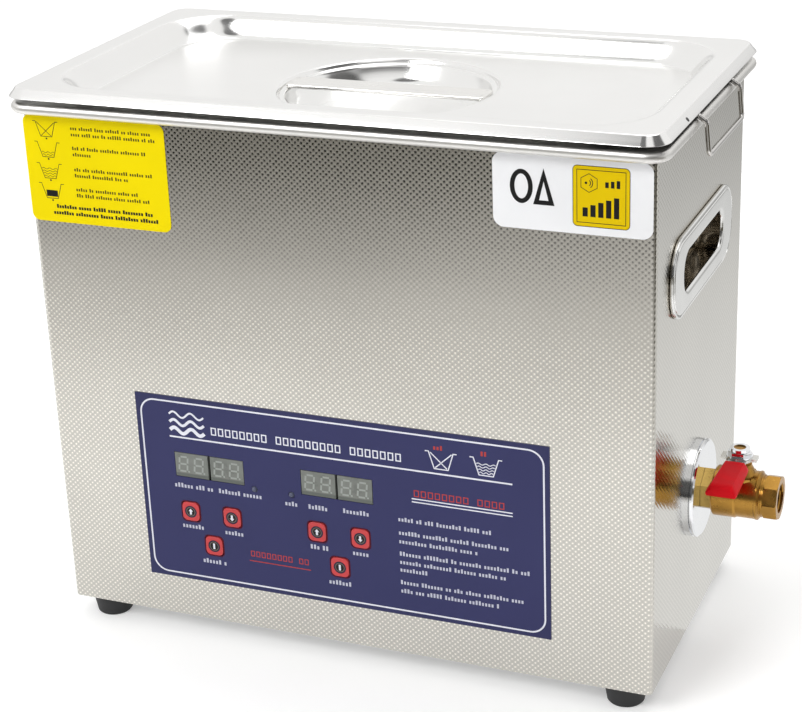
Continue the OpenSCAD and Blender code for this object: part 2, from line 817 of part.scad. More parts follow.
module power_inlet() {
    color("#232323") difference() {
        union() {
            on_back(inlet_at, back_y) linear_extrude(height = 3) rounded_rect(50, 23, 4);
            on_back(inlet_at, back_y - 22) linear_extrude(height = 22) square([27, 19.4], center = true);
        }
        on_back(inlet_at, back_y - 16) linear_extrude(height = 30) difference() {
            square([24, 16.5], center = true);
            for (p = [[-7, -1.5], [0, 2.5], [7, -1.5]]) translate(p) square([2, 4.2], center = true);
        }
        for (s = [-1, 1]) on_back([inlet_at[0] + s * 20, inlet_at[1]], back_y - 1) cylinder(r = 1.7, h = 6);
    }
}

module switch_housing() {
    color("#1f1f1f") difference() {
        union() {
            on_back(switch_at, back_y) linear_extrude(height = 1.8) rounded_rect(18, 32, 1.5);
            on_back(switch_at, back_y - 20) linear_extrude(height = 20.5) square([13.8, 27.8], center = true);
        }
        on_back(switch_at, back_y - 10) linear_extrude(height = 20) square([11.2, 24.6], center = true);
        translate([switch_at[0] - 10, back_y - 2, switch_at[1]]) rotate([0, 90, 0])
            cylinder(r = 1 + thread_gap, h = 20);
    }
}

// Rocker on its cross pin, shown with one end pressed in
module switch_rocker() {
    color("#c4212b") translate([switch_at[0], back_y - 2, switch_at[1]]) rotate([-9, 0, 0]) {
        translate([-5.2, 0, 0]) rotate([90, 0, 90]) linear_extrude(height = 10.4)
            difference() {
                intersection() {
                    circle(r = 11.2);
                    translate([-4, -12]) square([9, 24]);
                }
                translate([21.5, 0]) circle(r = 19);
            }
        translate([-6.5, 0, 0]) rotate([0, 90, 0]) cylinder(r = 1, h = 13);
    }
}

// ---------- labels and wiring ----------

module front_labels() {
    color("#f2dc1c") on_front([-120.75, 252.45], front_y) linear_extrude(height = 0.2)
        rounded_rect(77.9, 54.3, 4);
    color("#f4f4f4") on_front([121.3, 262.25], front_y) linear_extrude(height = 0.2)
        rounded_rect(74.4, 35.3, 5);
}

module wiring_harness() {
    mains = [[104, 60.9, 52], [104, 50, 52], [70, 46, 42], [24, 28, 42], [4, 4, 42], [4, 4, 25.7]];
    panel_lead = [[-104, -34.5, 25.7], [-104, -34.5, 34], [-116, -46, 40], [-118, -54, 52],
        [-112, -58, 70], [-94, -58, 78], [-80, -58, 78], [-80, -69.9, 78]];
    sound_lead = [[-60, -33, 25.7], [-60, -33, 36], [-58, -42, 50], [-64, -38, 66],
        [-76.5, -20, 82], [-76.5, -20, 95.2]];
    color("#303030") {
        wire(rounded_path(mains, 4, 3), 4.4, [0, 0, 1], 8);
        wire(rounded_path(panel_lead, 3, 3), 3, [1, 0, 0], 8);
        wire(rounded_path(sound_lead, 3, 3), 3, [1, 0, 0], 8);
    }
}

casing();
base_plate();
base_screws();
feet();
foot_screws();
tank();
tank_seal();
lid();
lid_handle();
basket();
basket_hook_left();
basket_hook_right();
side_grip_left();
side_grip_right();
drain_outlet();
drain_gasket();
pipe_locknuts();
drain_elbow();
escutcheon();
hex_nipple();
valve_body();
valve_end_cap();
valve_seats();
valve_ball();
valve_stem();
gland_nut();
valve_lever();
lever_sleeve();
lever_nut();
panel_overlay();
key_temp_up();
key_temp_down();
key_heat();
key_time_up();
key_time_down();
key_wash();
display_modules();
indicator_leds();
control_board();
board_standoffs();
tact_switches();
transducer_horns();
piezo_rings();
transducer_electrodes();
transducer_back_masses();
transducer_bolts();
heater_pads();
temperature_sensor();
generator_board();
heat_sink();
output_transformer();
capacitors();
fan_frame();
fan_rotor();
fan_guard();
power_inlet();
switch_housing();
switch_rocker();
front_labels();
wiring_harness();
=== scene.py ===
"""Looks of the bench-top ultrasonic cleaner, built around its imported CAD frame.

Sizes are in millimetres in the row frame (+X drain valve, -Y control panel, +Z up) and become metres
where a mesh is made. Places come from the CAD nodes' own boxes.
"""
import json
import math
import random

import bpy
from mathutils import Euler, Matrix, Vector


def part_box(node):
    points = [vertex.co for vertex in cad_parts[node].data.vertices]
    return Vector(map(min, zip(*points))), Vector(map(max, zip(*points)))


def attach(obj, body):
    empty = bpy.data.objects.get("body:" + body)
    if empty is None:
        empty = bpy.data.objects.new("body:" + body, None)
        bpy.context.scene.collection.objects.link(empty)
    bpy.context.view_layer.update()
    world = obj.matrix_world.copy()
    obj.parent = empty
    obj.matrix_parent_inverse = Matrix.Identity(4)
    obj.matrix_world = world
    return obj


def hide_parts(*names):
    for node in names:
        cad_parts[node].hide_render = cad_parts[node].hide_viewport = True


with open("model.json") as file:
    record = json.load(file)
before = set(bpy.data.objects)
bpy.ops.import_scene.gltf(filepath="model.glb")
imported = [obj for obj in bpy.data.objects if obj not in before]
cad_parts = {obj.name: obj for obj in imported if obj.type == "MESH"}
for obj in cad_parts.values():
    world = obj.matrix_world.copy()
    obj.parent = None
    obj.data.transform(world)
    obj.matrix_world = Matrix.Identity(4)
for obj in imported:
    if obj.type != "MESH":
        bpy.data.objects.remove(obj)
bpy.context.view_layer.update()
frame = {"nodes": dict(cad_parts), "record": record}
NODES = frame["nodes"]
MM = 0.001


def span(node):
    """Lowest and highest corner of a CAD node, in millimetres."""
    low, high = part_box(node)
    return low / MM, high / MM


def middle(node):
    low, high = span(node)
    return (low + high) / 2


# ---------- camera ----------

CAMERA_AT = (379.7, -896.5, 540.8)
CAMERA_TURN = (67.477, 2.127, 22.013)        # degrees about X, Y and Z
CAMERA_LENS = 90.53                          # mm, on a 36 mm wide sensor


def make_camera():
    data = bpy.data.cameras.new("camera")
    data.lens = CAMERA_LENS
    data.sensor_width = 36
    data.clip_start = 0.01
    camera = bpy.data.objects.new("camera", data)
    camera.location = Vector(CAMERA_AT) * MM
    camera.rotation_euler = Euler([math.radians(a) for a in CAMERA_TURN])
    bpy.context.scene.collection.objects.link(camera)
    bpy.context.scene.camera = camera


# ---------- node materials ----------

class Nodes:
    """Short calls for the nodes used here, on any node tree."""

    def __init__(self, tree):
        self.tree = tree
        self.coords = self.add("ShaderNodeTexCoord")

    def add(self, kind, **settings):
        node = self.tree.nodes.new(kind)
        for name, value in settings.items():
            setattr(node, name, value)
        return node

    def link(self, source, target):
        self.tree.links.new(source, target)

    def feed(self, socket, value):
        """Links value to the socket if it is an output, or sets it."""
        if isinstance(value, bpy.types.NodeSocket):
            self.link(value, socket)
        else:
            socket.default_value = value

    def math(self, operation, *values, clamp=False):
        node = self.add("ShaderNodeMath", operation=operation, use_clamp=clamp)
        for socket, value in zip(node.inputs, values):
            self.feed(socket, value)
        return node.outputs[0]

    def spread(self, value, low, high, to_low=0.0, to_high=1.0, way="LINEAR"):
        """Maps low..high to to_low..to_high."""
        node = self.add("ShaderNodeMapRange", interpolation_type=way)
        for socket, number in zip(node.inputs, (value, low, high, to_low, to_high)):
            self.feed(socket, number)
        return node.outputs[0]

    def ramp(self, value, low, high, to_low=0.0, to_high=1.0):
        """The same with soft ends."""
        return self.spread(value, low, high, to_low, to_high, "SMOOTHSTEP")

    def axes(self, source):
        """The X, Y and Z parts of one of the texture coordinates."""
        node = self.add("ShaderNodeSeparateXYZ")
        self.link(self.coords.outputs[source], node.inputs[0])
        return node.outputs

    def noise(self, scale, detail, stretch=(1, 1, 1)):
        """Noise in object space; scale counts features per metre."""
        mapping = self.add("ShaderNodeMapping")
        mapping.inputs["Scale"].default_value = stretch
        self.link(self.coords.outputs["Object"], mapping.inputs["Vector"])
        node = self.add("ShaderNodeTexNoise")
        node.inputs["Scale"].default_value = scale
        node.inputs["Detail"].default_value = detail
        self.link(mapping.outputs[0], node.inputs["Vector"])
        return node.outputs[0]

    def blend(self, factor, first, second, way="MIX"):
        """Colour that goes from first to second, or to their product with way MULTIPLY."""
        node = self.add("ShaderNodeMix", data_type="RGBA", blend_type=way)
        self.feed(node.inputs[0], factor)
        for socket, colour in zip(node.inputs[6:8], (first, second)):
            self.feed(socket, (*colour, 1) if isinstance(colour, tuple) else colour)
        return node.outputs[2]


FINISHES = {}                                # by the name asked for, as Blender may add a number to it


class Graph(Nodes):
    """A material's node tree around its Principled shader."""

    def __init__(self, name):
        self.material = FINISHES[name] = bpy.data.materials.new(name)
        self.material.use_nodes = True
        super().__init__(self.material.node_tree)
        self.shader = self.tree.nodes["Principled BSDF"]

    def bump(self, height, depth):
        """Bends the shader's normals for a relief of this depth in millimetres."""
        node = self.add("ShaderNodeBump")
        node.inputs["Strength"].default_value = 1.0
        node.inputs["Distance"].default_value = depth * MM
        self.link(height, node.inputs["Height"])
        self.link(node.outputs[0], self.shader.inputs["Normal"])

    def set(self, **sockets):
        for name, value in sockets.items():
            self.feed(self.shader.inputs[name.replace("_", " ").title().replace("Ior", "IOR")], value)


def shade(colour, factor):
    return tuple(min(1.0, c * factor) for c in colour)


def surface(name, colour, metallic=0.0, roughness=0.5, tint=0.08, patch=60, uneven=0.06,
            grain=900, stretch=(1, 1, 1), depth=0.01, specular=0.5):
    """A finish with patchy colour and gloss and a fine grain.

    patch and grain count features per metre, depth is the grain's height in millimetres.
    """
    g = Graph(name)
    cloud = g.noise(patch, 4)
    g.set(Base_Color=g.blend(g.spread(cloud, 0.3, 0.7), shade(colour, 1 - tint), shade(colour, 1 + tint)),
          Metallic=metallic, Specular_Ior_Level=specular)
    fine = g.noise(grain, 3, stretch)
    patches = g.spread(cloud, 0.3, 0.7, roughness - uneven, roughness + uneven)
    g.set(Roughness=g.math("MULTIPLY_ADD", g.math("SUBTRACT", fine, 0.5), uneven, patches))
    g.bump(fine, depth)


def steel(name, colour, roughness, **more):
    """Satin or bright metal, its grain drawn out along X unless told otherwise."""
    values = dict(tint=0.03, patch=25, uneven=0.03, grain=2600, stretch=(0.04, 1, 1), depth=0.004)
    values.update(more)
    surface(name, colour, 1.0, roughness, **values)


WEAVE_U = 1.5                                # mm across one cell of the embossed pattern
WEAVE_V = 1.42
WEAVE_DEPTH = 0.008


def embossed_steel(name, colour):
    """Stainless sheet rolled with a fine linen pattern of raised and sunk dots.

    The sunk dots get painted shade high on the sheet and the raised ones a painted highlight low on it,
    standing in for the room they reflect.
    """
    g = Graph(name)
    x, y, height = g.axes("Object")
    on_side = g.math("GREATER_THAN", g.math("ABSOLUTE", g.axes("Normal")[0]), 0.7)
    across = g.math("ADD", g.math("MULTIPLY", x, g.math("SUBTRACT", 1.0, on_side)),
                    g.math("MULTIPLY", y, on_side))
    wander = g.math("MULTIPLY", g.math("SUBTRACT", g.noise(170, 2), 0.5), 0.9)
    column = g.math("SINE", g.math("MULTIPLY_ADD", across, math.pi / (WEAVE_U * MM), wander))
    row = g.math("SINE", g.math("MULTIPLY_ADD", height, math.pi / (WEAVE_V * MM), wander))
    fibre = g.noise(1500, 2)
    dots = g.math("MULTIPLY_ADD", g.math("SUBTRACT", fibre, 0.5), 1.1, g.math("MULTIPLY", column, row))
    sunk = g.ramp(dots, -0.2, -0.75)
    raised = g.ramp(dots, 0.3, 0.85)
    front = g.math("MULTIPLY_ADD", on_side, -0.6, 1.0)
    # Painted shade: the sunk dots darken more the higher they sit, and less on the sides.
    dark = g.math("MULTIPLY", g.math("MULTIPLY", sunk, front), g.spread(height, 0.205, 0.262, 0.08, 0.93))
    # Painted highlight: the raised dots lighten towards the bottom, and less on the sides.
    light = g.math("MULTIPLY", g.math("MULTIPLY", raised, front), g.spread(height, 0.185, 0.22, 0.55, 0.08))
    cloud = g.spread(g.noise(12, 3), 0.3, 0.7, 0.97, 1.03)
    factor = g.math("MULTIPLY", g.math("ADD", g.math("SUBTRACT", 1.0, dark), light), cloud)
    g.set(Base_Color=g.blend(1.0, colour, factor, "MULTIPLY"), Metallic=1.0,
          Roughness=g.spread(on_side, 0.0, 1.0, 0.24, 0.07))
    relief = g.math("MULTIPLY", dots, g.math("MULTIPLY_ADD", on_side, 2.2, 1.0))
    g.bump(relief, WEAVE_DEPTH)


def pressed_steel(name, colour, top_roughness, wall_roughness):
    """Satin on the level faces and polished where the sheet turns down."""
    g = Graph(name)
    level = g.ramp(g.math("ABSOLUTE", g.axes("Normal")[2]), 0.8, 0.99)
    cloud = g.noise(14, 4)
    fine = g.noise(2600, 3, (0.04, 1, 1))
    g.set(Base_Color=g.blend(g.spread(cloud, 0.3, 0.7), shade(colour, 0.98), shade(colour, 1.02)),
          Metallic=1.0,
          Roughness=g.math("MULTIPLY_ADD", g.math("SUBTRACT", fine, 0.5), 0.05,
                           g.spread(level, 0.0, 1.0, wall_roughness, top_roughness)))
    g.bump(fine, 0.003)


def cupped_steel(name, colour, pocket_shade_colour, roughness):
    """Bright sheet with painted brown shade at the casing's side and inside the pocket behind it."""
    g = Graph(name)
    wall = span("casing")[1].x * MM
    # Painted shade: the colour turns to the brown pocket shade from 1.4 mm proud of the casing wall inwards.
    depth = g.ramp(g.math("ABSOLUTE", g.axes("Object")[0]), wall + 0.0014, wall + 0.0003)
    cloud = g.spread(g.noise(60, 3), 0.3, 0.7, 0.95, 1.04)
    fine = g.noise(2600, 3, (1, 0.04, 1))
    g.set(Base_Color=g.blend(1.0, g.blend(depth, colour, pocket_shade_colour), cloud, "MULTIPLY"), Metallic=1.0,
          Roughness=g.math("MULTIPLY_ADD", g.math("SUBTRACT", fine, 0.5), 0.04, roughness))
    g.bump(fine, 0.003)


def film(name, colour, roughness=0.4, tint=0.03, specular=0.12):
    """A printed film or an ink."""
    surface(name, colour, 0.0, roughness, tint=tint, patch=30, uneven=0.04, grain=1500, depth=0.004,
            specular=specular)


EVEN = (1, 1, 1)                             # stretch of a grain that runs no way


def make_materials():
    embossed_steel("casing_steel", (0.525, 0.51, 0.472))
    steel("base_steel", (0.55, 0.55, 0.54), 0.35)
    pressed_steel("tank_steel", (0.76, 0.75, 0.73), 0.34, 0.4)
    pressed_steel("lid_steel", (0.84, 0.838, 0.83), 0.32, 0.14)
    steel("handle_steel", (0.8, 0.79, 0.77), 0.26)
    steel("basket_steel", (0.7, 0.7, 0.69), 0.22, stretch=EVEN)
    steel("wire_steel", (0.6, 0.585, 0.57), 0.08, stretch=EVEN, depth=0.002)
    # The brown second colour is painted shade in the grip's pocket.
    cupped_steel("grip_steel", (0.72, 0.72, 0.71), (0.42, 0.385, 0.33), 0.13)
    steel("fitting_steel", (0.66, 0.65, 0.62), 0.25, stretch=EVEN)
    steel("screw_steel", (0.5, 0.5, 0.5), 0.3, stretch=EVEN)
    steel("chrome", (0.8, 0.81, 0.83), 0.07, stretch=EVEN, depth=0.002)
    surface("brass", (0.41, 0.218, 0.045), 1.0, 0.27, tint=0.08, patch=120, uneven=0.04, grain=2200,
            depth=0.004)
    surface("brass_dark", (0.36, 0.24, 0.07), 1.0, 0.34, tint=0.2, patch=300, uneven=0.08, grain=2500,
            depth=0.02)
    surface("seat_plastic", (0.9, 0.9, 0.88), 0.0, 0.4)
    surface("sleeve_red", (0.66, 0.005, 0.012), 0.0, 0.4, tint=0.08, patch=120, grain=700, depth=0.02,
            specular=0.06)
    film("overlay_navy", (0.036, 0.038, 0.112), 0.36)
    film("key_red", (0.54, 0.048, 0.052), 0.3, 0.08, 0.3)
    surface("display_face", (0.175, 0.185, 0.17), 0.0, 0.3, tint=0.12, patch=160, depth=0.002,
            specular=0.15)
    surface("lamp_lens", (0.09, 0.1, 0.15), 0.0, 0.3, specular=0.2)
    surface("circuit_board", (0.03, 0.16, 0.06), 0.0, 0.35, tint=0.2, patch=400)
    surface("switch_black", (0.018, 0.018, 0.02), 0.0, 0.45, tint=0.2, grain=2500)
    steel("horn_aluminium", (0.75, 0.76, 0.77), 0.3, stretch=(1, 1, 20))
    surface("piezo_ceramic", (0.2, 0.17, 0.14), 0.0, 0.6, tint=0.15)
    steel("copper_sheet", (0.8, 0.36, 0.2), 0.3)
    steel("dark_steel", (0.3, 0.31, 0.33), 0.4, stretch=(1, 1, 20))
    surface("heater_silicone", (0.5, 0.12, 0.05), 0.0, 0.6, grain=1400, depth=0.05)
    steel("sink_aluminium", (0.5, 0.52, 0.55), 0.38)
    surface("winding", (0.45, 0.2, 0.06), 0.6, 0.35, grain=900, stretch=(1, 1, 8), depth=0.2)
    surface("capacitor_sleeve", (0.03, 0.06, 0.2), 0.0, 0.3)
    surface("fan_plastic", (0.022, 0.022, 0.023), 0.0, 0.5, tint=0.2, grain=2200)
    surface("rocker_red", (0.55, 0.02, 0.02), 0.0, 0.3)
    film("label_film", (0.79, 0.635, 0.0), 0.38, specular=0.04)
    film("label_white", (0.78, 0.785, 0.8), 0.38)
    film("label_gold", (0.69, 0.49, 0.001), 0.35, specular=0.04)
    surface("cable_black", (0.02, 0.02, 0.02), 0.0, 0.5)
    surface("rubber_black", (0.014, 0.014, 0.015), 0.0, 0.62, tint=0.3, patch=300, grain=1800,
            depth=0.04)
    surface("seal_grey", (0.06, 0.06, 0.06), 0.0, 0.6)
    film("ink_white", (0.72, 0.73, 0.8), 0.4)
    film("ink_text", (0.5, 0.51, 0.6), 0.4)
    film("ink_red", (0.42, 0.05, 0.045), 0.4)
    film("ink_black", (0.012, 0.012, 0.012), 0.4)
    film("ink_olive", (0.06, 0.045, 0.004), 0.4)
    film("ink_ring", (0.025, 0.022, 0.045), 0.35)
    film("segment", (0.3, 0.32, 0.3), 0.3)
    film("navy_dark", (0.034, 0.036, 0.1), 0.36)
    film("key_disc", (0.14, 0.12, 0.1), 0.35)
    film("key_core", (0.014, 0.012, 0.014), 0.35)
    film("key_edge", (0.07, 0.008, 0.03), 0.35)
    film("display_dark", (0.12, 0.13, 0.12), 0.3)


# ---------- outlines ----------

def rounded_rect(width, depth, radius, arc=8, short=4, long=8):
    """Anticlockwise outline that starts at the middle of the right side."""
    hx, hy = width / 2, depth / 2
    radius = max(radius, 0.01)
    side = math.atan2(hy - radius, hx)
    quarter = [(hx, hx * math.tan(side * k / short)) for k in range(short)]
    for k in range(arc + 1):
        a = math.pi / 2 * k / arc
        quarter.append((hx - radius + radius * math.cos(a), hy - radius + radius * math.sin(a)))
    side = math.atan2(hx - radius, hy)
    quarter += [(hy * math.tan(side * (1 - k / long)), hy) for k in range(1, long + 1)]
    mirrored = [(-x, y) for x, y in reversed(quarter)]
    half = quarter[:-1] + mirrored[:-1]
    return half + [(-x, -y) for x, y in half]


def circle(radius, count, at=(0, 0)):
    return [(at[0] + radius * math.cos(2 * math.pi * k / count),
             at[1] + radius * math.sin(2 * math.pi * k / count)) for k in range(count)]


def box_outline(u0, v0, u1, v1):
    return [(u0, v0), (u1, v0), (u1, v1), (u0, v1)]


def eased(points, steps):
    """A smooth curve through the points (Catmull-Rom)."""
    points = [Vector(p) for p in points]
    ends = [2 * points[0] - points[1]] + points + [2 * points[-1] - points[-2]]
    out = []
    for a, b, c, d in zip(ends, ends[1:], ends[2:], ends[3:]):
        for k in range(steps):
            t = k / steps
            out.append(0.5 * (2 * b + (c - a) * t + (2 * a - 5 * b + 4 * c - d) * t * t
                              + (3 * b - a - 3 * c + d) * t ** 3))
    return out + [points[-1]]


def bent(points, radius, steps):
    """The path with its corners rounded."""
    points = [Vector(p) for p in points]
    out = [points[0]]
    for a, b, c in zip(points, points[1:], points[2:]):
        u, v = (a - b).normalized(), (c - b).normalized()
        half = u.angle(v) / 2
        centre = b + (u + v).normalized() * radius / math.sin(half)
        first = b + u * radius / math.tan(half) - centre
        last = b + v * radius / math.tan(half) - centre
        turn = math.pi - 2 * half
        for k in range(steps + 1):
            t = k / steps
            swing = first * math.sin((1 - t) * turn) + last * math.sin(t * turn)
            out.append(centre + swing / math.sin(turn))
    return out + [points[-1]]


# ---------- meshes ----------

class Shape:
    """Gathers the vertices and faces of one piece, in millimetres."""

    def __init__(self):
        self.verts, self.faces = [], []

    def ring(self, points):
        first = len(self.verts)
        self.verts += [tuple(p) for p in points]
        return list(range(first, len(self.verts)))

    def strip(self, a, b):
        """Faces between two closed rings of equal length."""
        for k in range(len(a)):
            j = (k + 1) % len(a)
            self.faces.append((a[k], a[j], b[j], b[k]))

    def loft(self, loops, first_cap=False, last_cap=False):
        """Skin over closed loops of equal length; the outside is right for loops that rise anticlockwise."""
        rings = [self.ring(loop) for loop in loops]
        for a, b in zip(rings, rings[1:]):
            self.strip(a, b)
        if first_cap:
            self.faces.append(tuple(reversed(rings[0])))
        if last_cap:
            self.faces.append(tuple(rings[-1]))
        return rings

    def point_fan(self, ring, point):
        tip = self.ring([point])[0]
        for k, index in enumerate(ring):
            self.faces.append((index, ring[(k + 1) % len(ring)], tip))

    def tube(self, path, radius, sides, closed=False):
        """A round bar along a path, its frame carried along without twist."""
        path = [Vector(p) for p in path]
        n = len(path)
        ways = []
        for k in range(n):
            before = path[k - 1] if k or closed else path[0]
            after = path[(k + 1) % n] if k < n - 1 or closed else path[-1]
            ways.append((after - before).normalized())
        side = ways[0].orthogonal().normalized()
        rings = []
        for point, way in zip(path, ways):
            side = (side - way * side.dot(way)).normalized()
            other = way.cross(side)
            rings.append(self.ring([point + radius * (side * math.cos(2 * math.pi * k / sides)
                                                      + other * math.sin(2 * math.pi * k / sides))
                                    for k in range(sides)]))
        for a, b in zip(rings, rings[1:]):
            self.strip(a, b)
        if closed:
            self.strip(rings[-1], rings[0])
        else:
            self.faces.append(tuple(reversed(rings[0])))
            self.faces.append(tuple(rings[-1]))

    def turned(self, profile, at, count):
        """A ring about an upright axis; profile lists (radius, z) from the outside's foot upwards."""
        rings = self.loft([[(x, y, z) for x, y in circle(r, count, at)] for r, z in profile])
        self.strip(rings[-1], rings[0])


class Print(Shape):
    """Thin raised shapes on an upright plane that faces -Y; u runs along +X and v along +Z."""

    def __init__(self, u0, v0, y, height):
        super().__init__()
        self.u0, self.v0, self.y, self.height = u0, v0, y, height

    def at(self, point, proud):
        return (self.u0 + point[0], self.y - (self.height if proud else -0.01), self.v0 + point[1])

    def area(self, outline):
        """outline is anticlockwise."""
        foot = self.ring([self.at(p, False) for p in outline])
        top = self.ring([self.at(p, True) for p in outline])
        self.strip(foot, top)
        self.faces.append(tuple(top))
        self.faces.append(tuple(reversed(foot)))

    def band(self, outer, inner):
        rings = [self.ring([self.at(p, proud) for p in loop])
                 for loop, proud in ((outer, False), (outer, True), (inner, True), (inner, False))]
        for a, b in zip(rings, rings[1:] + rings[:1]):
            self.strip(a, b)

    def stroke(self, points, width, closed=False):
        """A line of even width with mitred corners."""
        n = len(points)
        left, right = [], []
        for k, p in enumerate(points):
            before = points[k - 1] if k or closed else None
            after = points[(k + 1) % n] if k < n - 1 or closed else None
            ways = [Vector(q).normalized() for q in (
                (p[0] - before[0], p[1] - before[1]) if before else None,
                (after[0] - p[0], after[1] - p[1]) if after else None) if q]
            normals = [Vector((-w.y, w.x)) for w in ways]
            mitre = sum(normals, Vector((0, 0))).normalized()
            mitre *= width / 2 / max(0.35, mitre.dot(normals[0]))
            left.append((p[0] + mitre.x, p[1] + mitre.y))
            right.append((p[0] - mitre.x, p[1] - mitre.y))
        if closed:
            self.band(right, left)
            return
        for a, b, c, d in zip(right, right[1:], left[1:], left):
            self.area([a, b, c, d])

    def text(self, u, v, width, height, bold=False):
        """A line of greeked text: small blocks in word groups, with no letters in it."""
        step = height * 0.72
        end = u + width
        word = random.randint(3, 9)
        while u + step < end:
            if word == 0:
                u += step * 0.7
                word = random.randint(2, 9)
                continue
            tall = height if random.random() < 0.3 else height * 0.72
            self.area(box_outline(u, v, u + step * (0.74 if bold else 0.6), v + tall))
            u += step
            word -= 1


def piece(name, body, material, shape, thickness=0.0, sharp=35, replaced=()):
    """Makes a mesh object of the shape, gives it a finish and sets it on its CAD body."""
    mesh = bpy.data.meshes.new(name)
    mesh.from_pydata([Vector(v) * MM for v in shape.verts], [], shape.faces)
    mesh.validate()
    mesh.polygons.foreach_set("use_smooth", [True] * len(mesh.polygons))
    mesh.set_sharp_from_angle(angle=math.radians(sharp))
    mesh.materials.append(material)
    obj = bpy.data.objects.new(name, mesh)
    bpy.context.scene.collection.objects.link(obj)
    if thickness:
        skin = obj.modifiers.new("thickness", "SOLIDIFY")
        skin.thickness = thickness * MM
        skin.offset = -1
    weights = obj.modifiers.new("normals", "WEIGHTED_NORMAL")
    weights.keep_sharp = True
    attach(obj, body)
    if replaced:
        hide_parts(*replaced)
    return obj


def fillet(centre, radius, start, end, steps=5):
    """Points of an arc in a section, angles in degrees."""
    return [(centre[0] + radius * math.cos(math.radians(start + (end - start) * k / steps)),
             centre[1] + radius * math.sin(math.radians(start + (end - start) * k / steps)))
            for k in range(steps + 1)]


# ---------- lid ----------

LID_THICK = 0.8
LID_FOOT_CORNER = 11.5
LID_TOP_CORNER = 8
SKIRT_FLARE = 3.5                            # how far the skirt leans out
SKIRT_HEIGHT = 4.6
# share of the flare, inset and height of each loop, from the skirt's foot to the flange
SKIRT_LINE = ((0.0, 0.3, 0.0), (0.0, 0.03, 0.12), (0.02, 0.0, 0.4), (0.5, 0.0, 2.35), (0.9, 0.0, 4.13),
              (0.975, 0.05, 4.45), (1.0, 0.35, 4.58), (1.0, 0.8, 4.6), (1.0, 3.0, 4.6))
RECESS_OUT = (305, 160, 32)                  # length, depth and corner where the flange begins to fall
RECESS_IN = (280, 141, 27)                   # where the floor begins
RECESS_DROP = 11.4
FLOOR_RINGS = (78, 64)                       # radii of the circles between the floor's edge and the dish
# radius and height over the floor
DISH_PROFILE = ((58.6, 0), (57.2, -0.05), (55.6, -0.3), (54.7, -1.2), (54.2, -2.2), (53.4, -2.4),
                (51.9, -2.4), (51.2, -2.9), (50.5, -4.4), (49.2, -7.0), (46.9, -10.6), (42.6, -13.6),
                (36.5, -15.9), (28.5, -17.5), (19.5, -18.5), (10, -19.1), (4, -19.3))
VENT_RADIUS = 1.25                           # of the black disc on the right skirt, painted shade in place of the vent hole
VENT_Y = -50


def lid_outline(width, depth, radius):
    return rounded_rect(width, depth, radius, arc=14, short=7, long=22)


def make_lid(m):
    low, high = span("lid")
    width, depth, top = high.x - low.x, high.y - low.y, high.z
    floor = top - RECESS_DROP
    shape = Shape()
    loops = []
    for way, inset, z in SKIRT_LINE:
        inwards = 2 * (SKIRT_FLARE * way + inset)
        corner = LID_FOOT_CORNER + (LID_TOP_CORNER - LID_FOOT_CORNER) * way - inset
        loops.append([(x, y, top - SKIRT_HEIGHT + z)
                      for x, y in lid_outline(width - inwards, depth - inwards, corner)])
    steps = 18
    for k in range(-1, steps + 2):
        t = min(max(k / steps, -0.04), 1.04)
        drop = 0.5 - 0.5 * math.cos(math.pi * min(max(t, 0), 1))
        size = [a + (b - a) * t for a, b in zip(RECESS_OUT, RECESS_IN)]
        loops.append([(x, y, top - RECESS_DROP * drop) for x, y in lid_outline(*size)])
    angles = [math.atan2(y, x) for x, y in lid_outline(*RECESS_IN)]
    for r in FLOOR_RINGS:
        loops.append([(r * math.cos(a), r * math.sin(a), floor) for a in angles])
    for r, z in eased(DISH_PROFILE, 3):
        loops.append([(r * math.cos(a), r * math.sin(a), floor + z) for a in angles])
    rings = shape.loft(loops)
    shape.point_fan(rings[-1], (0, 0, floor + DISH_PROFILE[-1][1]))
    piece("lid_pressing", "lid", m["lid_steel"], shape, LID_THICK, 60, ["lid"])

    slope = Vector((-SKIRT_FLARE, 0, SKIRT_HEIGHT)).normalized()
    outwards = Vector((slope.z, 0, -slope.x))
    centre = Vector((width / 2 - SKIRT_FLARE * 0.34, VENT_Y, top - SKIRT_HEIGHT * 0.66))
    # A black disc painted as the shade inside the lid's vent hole; the pressing has no hole here.
    vent = Shape()
    vent.loft([[centre + outwards * rise + Vector((0, u, 0)) + slope * v for u, v in circle(VENT_RADIUS, 20)]
               for rise in (-0.3, 0.15)], True, True)
    piece("lid_vent_shade_disc", "lid", m["switch_black"], vent)


def make_lid_bar(m):
    low, high = span("lid_handle")
    length, width = high.x - low.x, high.y - low.y
    edge, corner = 0.7, 2.5
    section = (fillet((edge, low.z + edge), edge, -90, -180, 4)
               + fillet((edge, high.z - edge), edge, 180, 90, 4))
    shape = Shape()
    shape.loft([[(u, v, z) for u, v in rounded_rect(length - 2 * x, width - 2 * x, corner - x)]
                for x, z in section], True, True)
    piece("lid_bar", "lid", m["handle_steel"], shape, replaced=["lid_handle"])
    welds = Shape()
    for s in (-1, 1):
        for v in (-4.5, 4.5):
            welds.turned([(1.4, high.z - 0.05), (1.2, high.z + 0.06), (0.4, high.z + 0.02),
                          (0.4, high.z - 0.1)], (s * (length / 2 - 2.2), v), 16)
    piece("lid_bar_welds", "lid", m["handle_steel"], welds)


# ---------- tank ----------

BEAD = 2.8
TANK_CORNER = 11
TANK_WALL = 1.0
MOUTH = (303, 159, 28)                       # length, depth and corner
WELL = (288, 148, 25)
STEP_Z = 264
FLOOR_FILLET = 10
DRAIN_HOLE = 8.5                             # radius


